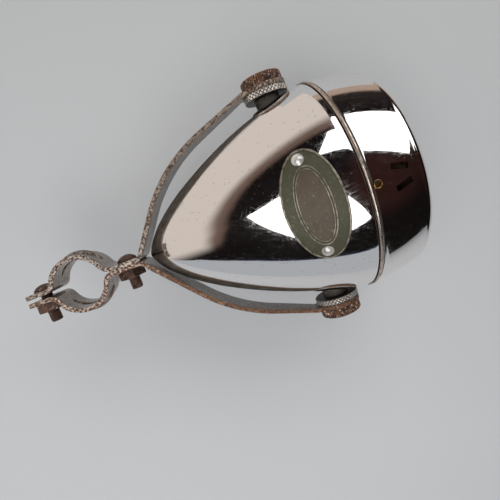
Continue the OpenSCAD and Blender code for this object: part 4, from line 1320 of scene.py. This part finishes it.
# The paper floor: its height, and half its width
FLOOR_Z, FLOOR_REACH = -mm(49.85), mm(900)

# Soft panels: place, right, up, width and height, in millimetres
KEY_PANEL = ((496, 544.112, 430.941), (-0.878, 0.4597, 0.1354), (-0.427, -0.879, 0.2147), 776, 700)
TOP_PANEL = ((-111, -178.383, 563.387), (0.438, -0.887, -0.1454), (0.894, 0.413, 0.1762), 740, 412)

# Cards that only mirrors and glass show: radius in millimetres, then the low and the high edge, as points of
# a turn in degrees and a height in millimetres
CARD_FOOT = -49.8
WARM_CARD = (
    190, ((64, CARD_FOOT), (192, CARD_FOOT), (210, 30)),
    ((64, 148), (90, 158), (120, 170), (150, 194), (180, 198), (198, 160), (210, 118)),
)
LOW_CARD = (125, ((66, CARD_FOOT), (128, CARD_FOOT)), ((66, -10), (128, -14)))
BROWN_CARD = (250, ((15, -30), (80, -28)), ((15, 80), (48, 89), (80, 104)))
COOL_SWEEP = (
    420, ((198, CARD_FOOT), (300, CARD_FOOT)), ((198, -30), (212, 90), (226, 150), (236, 172), (300, 172)),
)

# Where a card that doesn't darken towards its far end would do so: past that end
NO_END = (1.5, 2.0)


def panel_light(name, place, right, up, width, height, level):
    """A soft panel that the mirror shows with hard edges."""
    data = bpy.data.lights.new(name, "AREA")
    data.shape = "RECTANGLE"
    data.size, data.size_y = mm(width), mm(height)
    data.energy = level * math.pi * data.size * data.size_y
    made = bpy.data.objects.new(name, data)
    bpy.context.scene.collection.objects.link(made)
    made.matrix_world = stood(place, right, up)


def stood(place, right, up):
    """Stands a panel or a camera at a place in millimetres, with its width and height along two axes."""
    right, up = Vector(right).normalized(), Vector(up).normalized()
    back = right.cross(up).normalized()
    turn = Matrix((right, back.cross(right), back)).transposed()
    return Matrix.Translation([mm(v) for v in place]) @ turn.to_4x4()


def paper(name, tone, lit_tone):
    """Matt studio paper: pale, with painted light that makes it a little paler towards one side."""
    made, tree, shader, at = finish(name, {"Roughness": 0.9, "Specular IOR Level": 0.2})
    painted_light_way, start, end = (-0.357, -0.929, 0), -mm(150), mm(110)
    reach = add(tree, "VectorMath", {0: at, 1: painted_light_way}, operation="DOT_PRODUCT").outputs["Value"]
    share = add(
        tree, "MapRange", {"Value": reach, "From Min": start, "From Max": end}, clamp=True
    ).outputs[0]
    # The paler side of the paper is painted light
    shade = add(tree, "Mix", {0: share, 6: tone, 7: lit_tone}, data_type="RGBA").outputs[2]
    fill(tree, shader.inputs["Base Color"], shade)
    return made


def card_strip(name, card, material):
    """A standing card, curved round the lamp, that only mirrors and glass show."""
    radius, low, high = card
    start, end = low[0][0], low[-1][0]
    bm = bmesh.new()
    centre = Vector((mm(60), 0, 0))
    way = Vector((math.cos(math.radians(start)), math.sin(math.radians(start)), 0))
    foot = bm.verts.new(centre + mm(radius) * way)
    head = bm.verts.new(foot.co + Vector((0, 0, 1)))
    edge = bm.edges.new((foot, head))
    bmesh.ops.spin(
        bm, geom=[foot, head, edge], cent=centre, axis=(0, 0, 1), angle=math.radians(end - start), steps=60,
        use_merge=False
    )

    def turn_of(v):
        return math.degrees(math.atan2(v.co.y, v.co.x - centre.x)) % 360

    spread = bm.loops.layers.uv.new("card")
    for face in bm.faces:
        for loop in face.loops:
            loop[spread].uv = ((turn_of(loop.vert) - start) / (end - start), loop.vert.co.z)
    for v in bm.verts:
        v.co.z = height_at(high if v.co.z > 0.5 else low, turn_of(v))
    made = as_object(bm, name)
    made.data.materials.append(material)
    made.visible_camera = made.visible_diffuse = made.visible_shadow = False


def card_paint(name, tone, over, edges, ends):
    """A lit card: its tone, then another above it, then dark at the top, and dark towards its far end."""
    made = bpy.data.materials.new(name)
    made.use_nodes = True
    tree = made.node_tree
    tree.nodes.remove(tree.nodes["Principled BSDF"])
    at = add(tree, "TexCoord", {}).outputs["UV"]
    across, up, _ = add(tree, "SeparateXYZ", {"Vector": at}).outputs
    shade, dark = tone, "#120D0C"
    for place, start, end, next_tone in (
        (up, edges[0], edges[1], over), (up, edges[1], 1.0, dark), (across, ends[0], ends[1], dark),
    ):
        share = add(
            tree, "MapRange", {"Value": place, "From Min": start, "From Max": end},
            interpolation_type="SMOOTHSTEP"
        ).outputs[0]
        shade = add(tree, "Mix", {0: share, 6: shade, 7: next_tone}, data_type="RGBA").outputs[2]
    lit = add(tree, "Emission", {"Color": shade, "Strength": 1.0})
    tree.links.new(lit.outputs[0], tree.nodes["Material Output"].inputs["Surface"])
    return made


def height_at(points, turn):
    """The height in metres at a turn, on straight lines from point to point of (turn, height in mm)."""
    for (a, low), (b, high) in zip(points, points[1:]):
        if turn <= b:
            return mm(low + (high - low) * min(1, max(0, (turn - a) / (b - a))))
    return mm(points[-1][1])


def room(level):
    """The room: pale for the eye and through glass, dark with brown overhead in mirrors, and a soft fill."""
    world = bpy.data.worlds.new("studio_room")
    world.use_nodes = True
    tree = world.node_tree
    overhead = Vector((0.45, -0.1, 0.85)).normalized()
    inner, outer = math.radians(5), math.radians(42)
    way = add(tree, "TexCoord", {}).outputs["Generated"]
    facing = add(tree, "VectorMath", {0: way, 1: overhead}, operation="DOT_PRODUCT").outputs["Value"]
    share = add(
        tree, "MapRange", {"Value": facing, "From Min": math.cos(outer), "From Max": math.cos(inner)},
        interpolation_type="SMOOTHSTEP"
    ).outputs[0]
    paths = add(tree, "LightPath", {}).outputs
    seen = add(
        tree, "Math", {0: paths["Is Camera Ray"], 1: paths["Is Transmission Ray"]}, operation="MAXIMUM"
    ).outputs[0]
    soft_fill = tuple(c * level for c in linear("#F9FDFF")[:3]) + (1.0,)
    dark = add(tree, "Mix", {0: share, 6: "#120E0E", 7: "#2E1A17"}, data_type="RGBA").outputs[2]
    unseen = add(tree, "Mix", {0: paths["Is Glossy Ray"], 6: soft_fill, 7: dark}, data_type="RGBA").outputs[2]
    shade = add(tree, "Mix", {0: seen, 6: unseen, 7: finishes().backdrop}, data_type="RGBA").outputs[2]
    tree.links.new(shade, tree.nodes["Background"].inputs["Color"])
    return world


class LAMP_OT_stage(Operator):
    """Sets the camera, the paper floor, the soft panels, the cards and the room"""
    bl_idname = "lamp.stage"
    bl_label = "Stage"

    def execute(self, context):
        scene = context.scene
        st, f = scene.lamp_studio, finishes()
        camera = bpy.data.objects.new("camera", bpy.data.cameras.new("camera"))
        scene.collection.objects.link(camera)
        camera.data.sensor_width = FRAME_W
        camera.data.lens = CAMERA_LENS
        camera.data.clip_start = mm(10)
        camera.matrix_world = stood(CAMERA_PLACE, CAMERA_RIGHT, CAMERA_UP)
        scene.camera = camera
        floor = bmesh.new()
        bmesh.ops.create_grid(floor, x_segments=4, y_segments=4, size=FLOOR_REACH)
        bmesh.ops.translate(floor, vec=(0, 0, FLOOR_Z), verts=floor.verts)
        floor = as_object(floor, "floor")
        floor.data.materials.append(paper("studio_paper", f.backdrop, f.backdrop_painted_light))
        panel_light("key_panel", *KEY_PANEL, st.key_level)
        panel_light("top_panel", *TOP_PANEL, st.top_level)
        for name, card, tone, over, edges, ends in (
            ("warm_card", WARM_CARD, st.card, "#6E5A50", (0.64, 0.84), (0.88, 1.0)),
            ("low_card", LOW_CARD, st.card, st.card, (0.5, 0.999), NO_END),
            ("brown_card", BROWN_CARD, "#B09A8A", "#2A2422", (0.22, 0.36), NO_END),
            ("cool_sweep", COOL_SWEEP, st.sweep, "#131A2C", (0.86, 0.863), NO_END),
        ):
            card_strip(name, card, card_paint(f"{name}_paint", tone, over, edges, ends))
        scene.world = room(st.fill_level)
        scene.view_settings.view_transform = "Standard"
        return {"FINISHED"}


PIECES = (
    LAMP_OT_straps, LAMP_OT_clamp_bolts, LAMP_OT_pivots, LAMP_OT_body, LAMP_OT_bezel, LAMP_OT_nameplate,
    LAMP_OT_small_fittings, LAMP_OT_optics, LAMP_OT_bulb,
)


class LAMP_PT_sidebar(Panel):
    bl_idname = "LAMP_PT_sidebar"
    bl_label = "Front lamp"
    bl_space_type = "VIEW_3D"
    bl_region_type = "UI"
    bl_category = "Lamp"

    def draw(self, context):
        for group in (context.scene.lamp_sizes, context.scene.lamp_finishes, context.scene.lamp_studio):
            box = self.layout.box()
            for name in group.__annotations__:
                box.prop(group, name)
        for operator in (LAMP_OT_stage, *PIECES):
            self.layout.operator(operator.bl_idname)


CLASSES = (LampSizes, LampFinishes, LampStudio, LAMP_OT_stage, *PIECES, LAMP_PT_sidebar)


def register():
    for cls in CLASSES:
        bpy.utils.register_class(cls)
    bpy.types.Scene.lamp_sizes = PointerProperty(type=LampSizes)
    bpy.types.Scene.lamp_finishes = PointerProperty(type=LampFinishes)
    bpy.types.Scene.lamp_studio = PointerProperty(type=LampStudio)


def unregister():
    del bpy.types.Scene.lamp_studio
    del bpy.types.Scene.lamp_finishes
    del bpy.types.Scene.lamp_sizes
    for cls in reversed(CLASSES):
        bpy.utils.unregister_class(cls)


def main():
    register()
    bpy.ops.lamp.stage()
    for operator in PIECES:
        group, name = operator.bl_idname.split(".")
        getattr(getattr(bpy.ops, group), name)()


if __name__ == "__main__":
    main()
